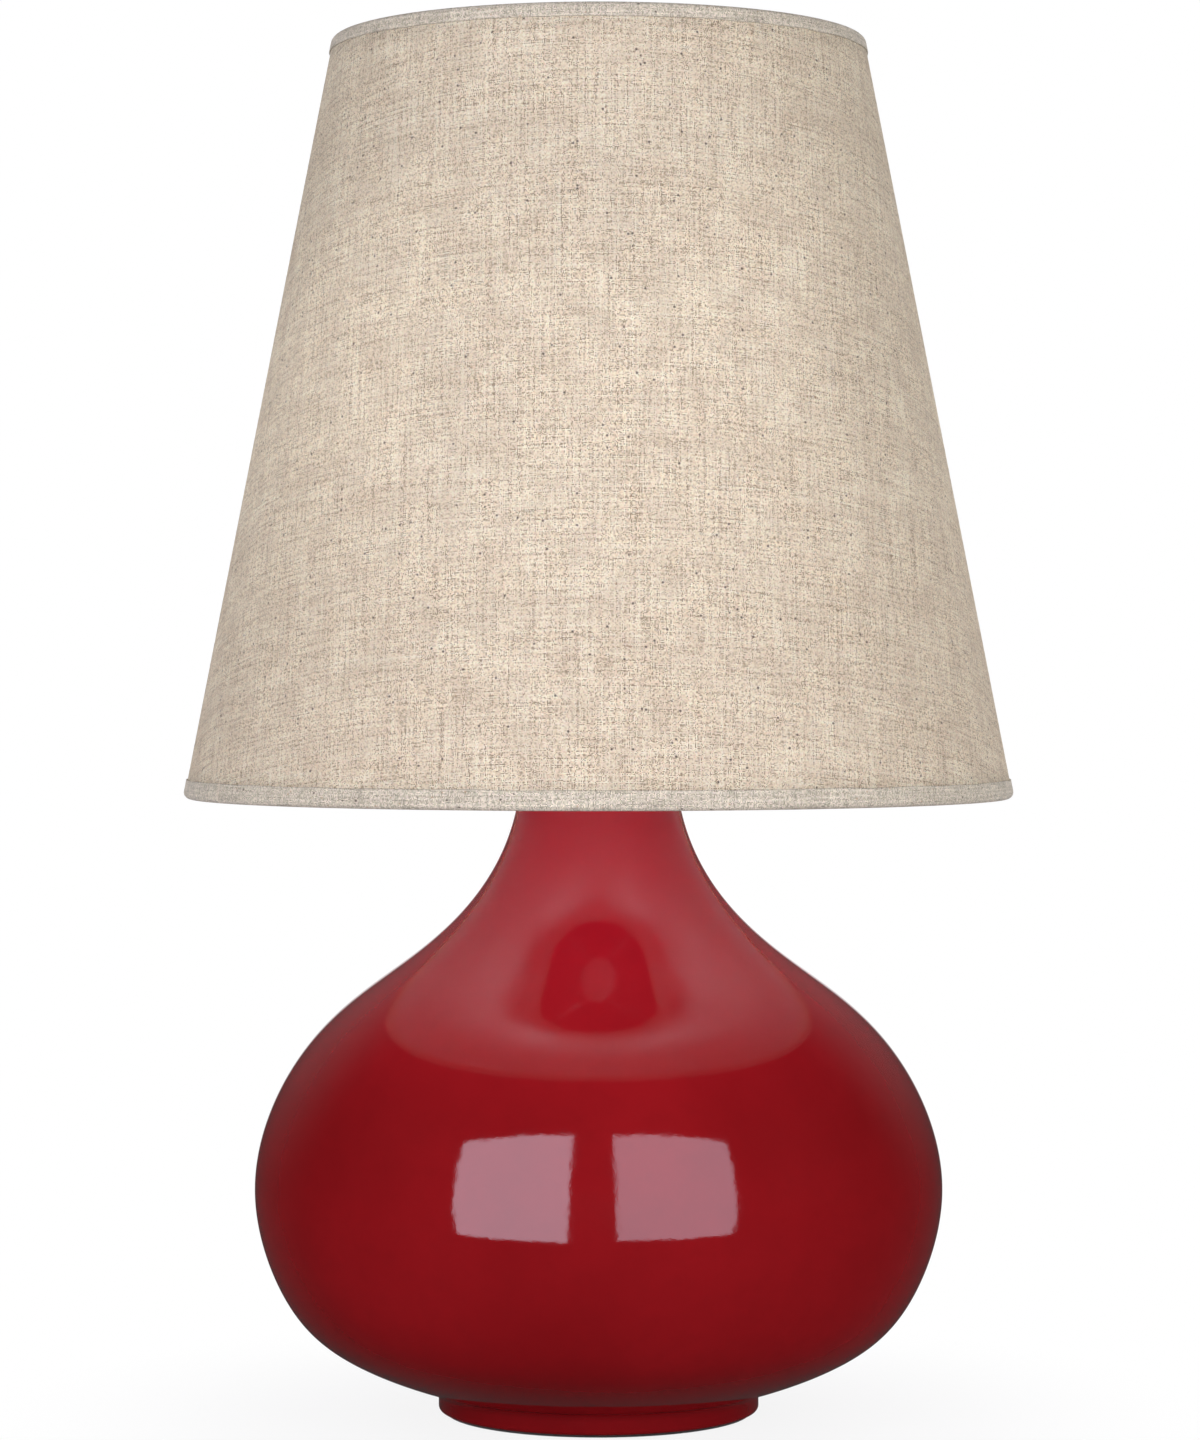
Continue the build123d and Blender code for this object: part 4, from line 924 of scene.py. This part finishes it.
def panel(name, facing, shift, middle, width, height, radiance):
    """A soft light panel that faces the lamp: facing is the azimuth of its plane, 0 being the camera's side
    and positive to the right; shift and middle place it sideways and upwards on that plane."""
    data = bpy.data.lights.new(name, "AREA")
    data.shape = "RECTANGLE"
    data.size = width
    data.size_y = height
    data.energy = radiance * math.pi * width * height
    data.color = PANEL_COLOUR
    obj = bpy.data.objects.new(name, data)
    bpy.context.scene.collection.objects.link(obj)
    away = Vector((math.sin(facing), -math.cos(facing), 0))
    right = Vector((math.cos(facing), math.sin(facing), 0))
    obj.location = Vector((0, -BELLY_RADIUS, middle)) + PANEL_DISTANCE * away + shift * right
    tilted = math.cos(PANEL_LEAN) * away + math.sin(PANEL_LEAN) * Vector((0, 0, 1))
    obj.rotation_euler = tilted.to_track_quat("Z", "Y").to_euler()
    return obj


def shade_lights():
    """Soft discs round the bulb's neck that shine outwards and down on the shade, not on the glass."""
    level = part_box("bulb_glass")[0].z + SHADE_LIGHT_RISE
    for k in range(SHADE_LIGHTS):
        angle = 2 * math.pi * (k + 0.5) / SHADE_LIGHTS
        out = Vector((math.sin(angle), math.cos(angle), 0))
        data = bpy.data.lights.new(f"shade_light_{k}", "AREA")
        data.shape = "DISK"
        data.size = SHADE_LIGHT_WIDTH
        data.color = SHADE_LIGHT_COLOUR
        data.energy = SHADE_LIGHT_POWER / SHADE_LIGHTS
        obj = bpy.data.objects.new(data.name, data)
        bpy.context.scene.collection.objects.link(obj)
        obj.location = SHADE_LIGHT_RADIUS * out + Vector((0, 0, level))
        facing = math.cos(SHADE_LIGHT_TILT) * out - math.sin(SHADE_LIGHT_TILT) * Vector((0, 0, 1))
        obj.rotation_euler = facing.to_track_quat("-Z", "Y").to_euler()
        obj.visible_camera = False
        obj.visible_glossy = False
        obj.visible_transmission = False


def studio_world():
    """A dark studio, a little paler behind and above the lamp, that the camera sees as white everywhere."""
    world = bpy.data.worlds.new("studio")
    bpy.context.scene.world = world
    p = Paint(world, "OutputWorld")
    _, back, up = p.split(p.node("TexCoord").outputs["Generated"])
    glow = p.math("MULTIPLY", p.span(back, 0.3, 0.95, 0.0, 0.17), p.span(up, -0.1, 0.5, 0.15, 1.0))
    glow = p.math("ADD", glow, 0.02)
    rays = p.node("LightPath").outputs
    mirrored = p.math("MAXIMUM", rays["Is Glossy Ray"], rays["Is Transmission Ray"])
    mirrored = p.math("MULTIPLY", mirrored, p.span(back, SWEEP_EDGE, SWEEP_FULL))
    white = p.math("MAXIMUM", rays["Is Camera Ray"], mirrored)
    strength = p.math("MAXIMUM", white, glow)
    p.done(p.node("Background", {"Color": (1, 1, 1), "Strength": strength}).outputs[0])


def camera():
    """The camera at the picture's height and distance, level but for a slight tilt down."""
    data = bpy.data.cameras.new("camera")
    data.lens = LENS
    data.sensor_width = 36
    data.clip_end = 100
    obj = bpy.data.objects.new("camera", data)
    bpy.context.scene.collection.objects.link(obj)
    obj.location = CAMERA_PLACE
    obj.rotation_euler = (math.pi / 2 - CAMERA_PITCH, 0, 0)
    bpy.context.scene.camera = obj


bpy.context.scene.view_settings.view_transform = "Standard"
materials = all_materials()
dress_nodes(materials)
ceramic_body(materials["red_glaze"])
linen_cover(materials["linen"])
folded_band(
    "top_band", "shade_top_trim", materials["linen_trim"],
    SHADE_TOP_RADIUS, SHADE_TOP_Z, True, TOP_TRIM_WIDTH, BACK,
)
folded_band(
    "bottom_band", "shade_bottom_trim", materials["linen_trim"],
    SHADE_BOTTOM_RADIUS, SHADE_BOTTOM_Z, False, BOTTOM_TRIM_WIDTH, BOTTOM_JOINT,
)
felt_disc(materials["felt"])
bulb_cap(materials["bulb_aluminium"])
screw_shell(materials["contact_brass"])
floor()
for name, facing, shift, middle, width, height, radiance in PANELS:
    panel(name, math.radians(facing), shift, middle, width, height, radiance)
for name, facing, middle, width, height, radiance, colour in FILLS:
    fill = panel(name, math.radians(facing), 0.0, middle, width, height, radiance)
    fill.data.color = colour
    fill.visible_glossy = False
shade_lights()
studio_world()
camera()
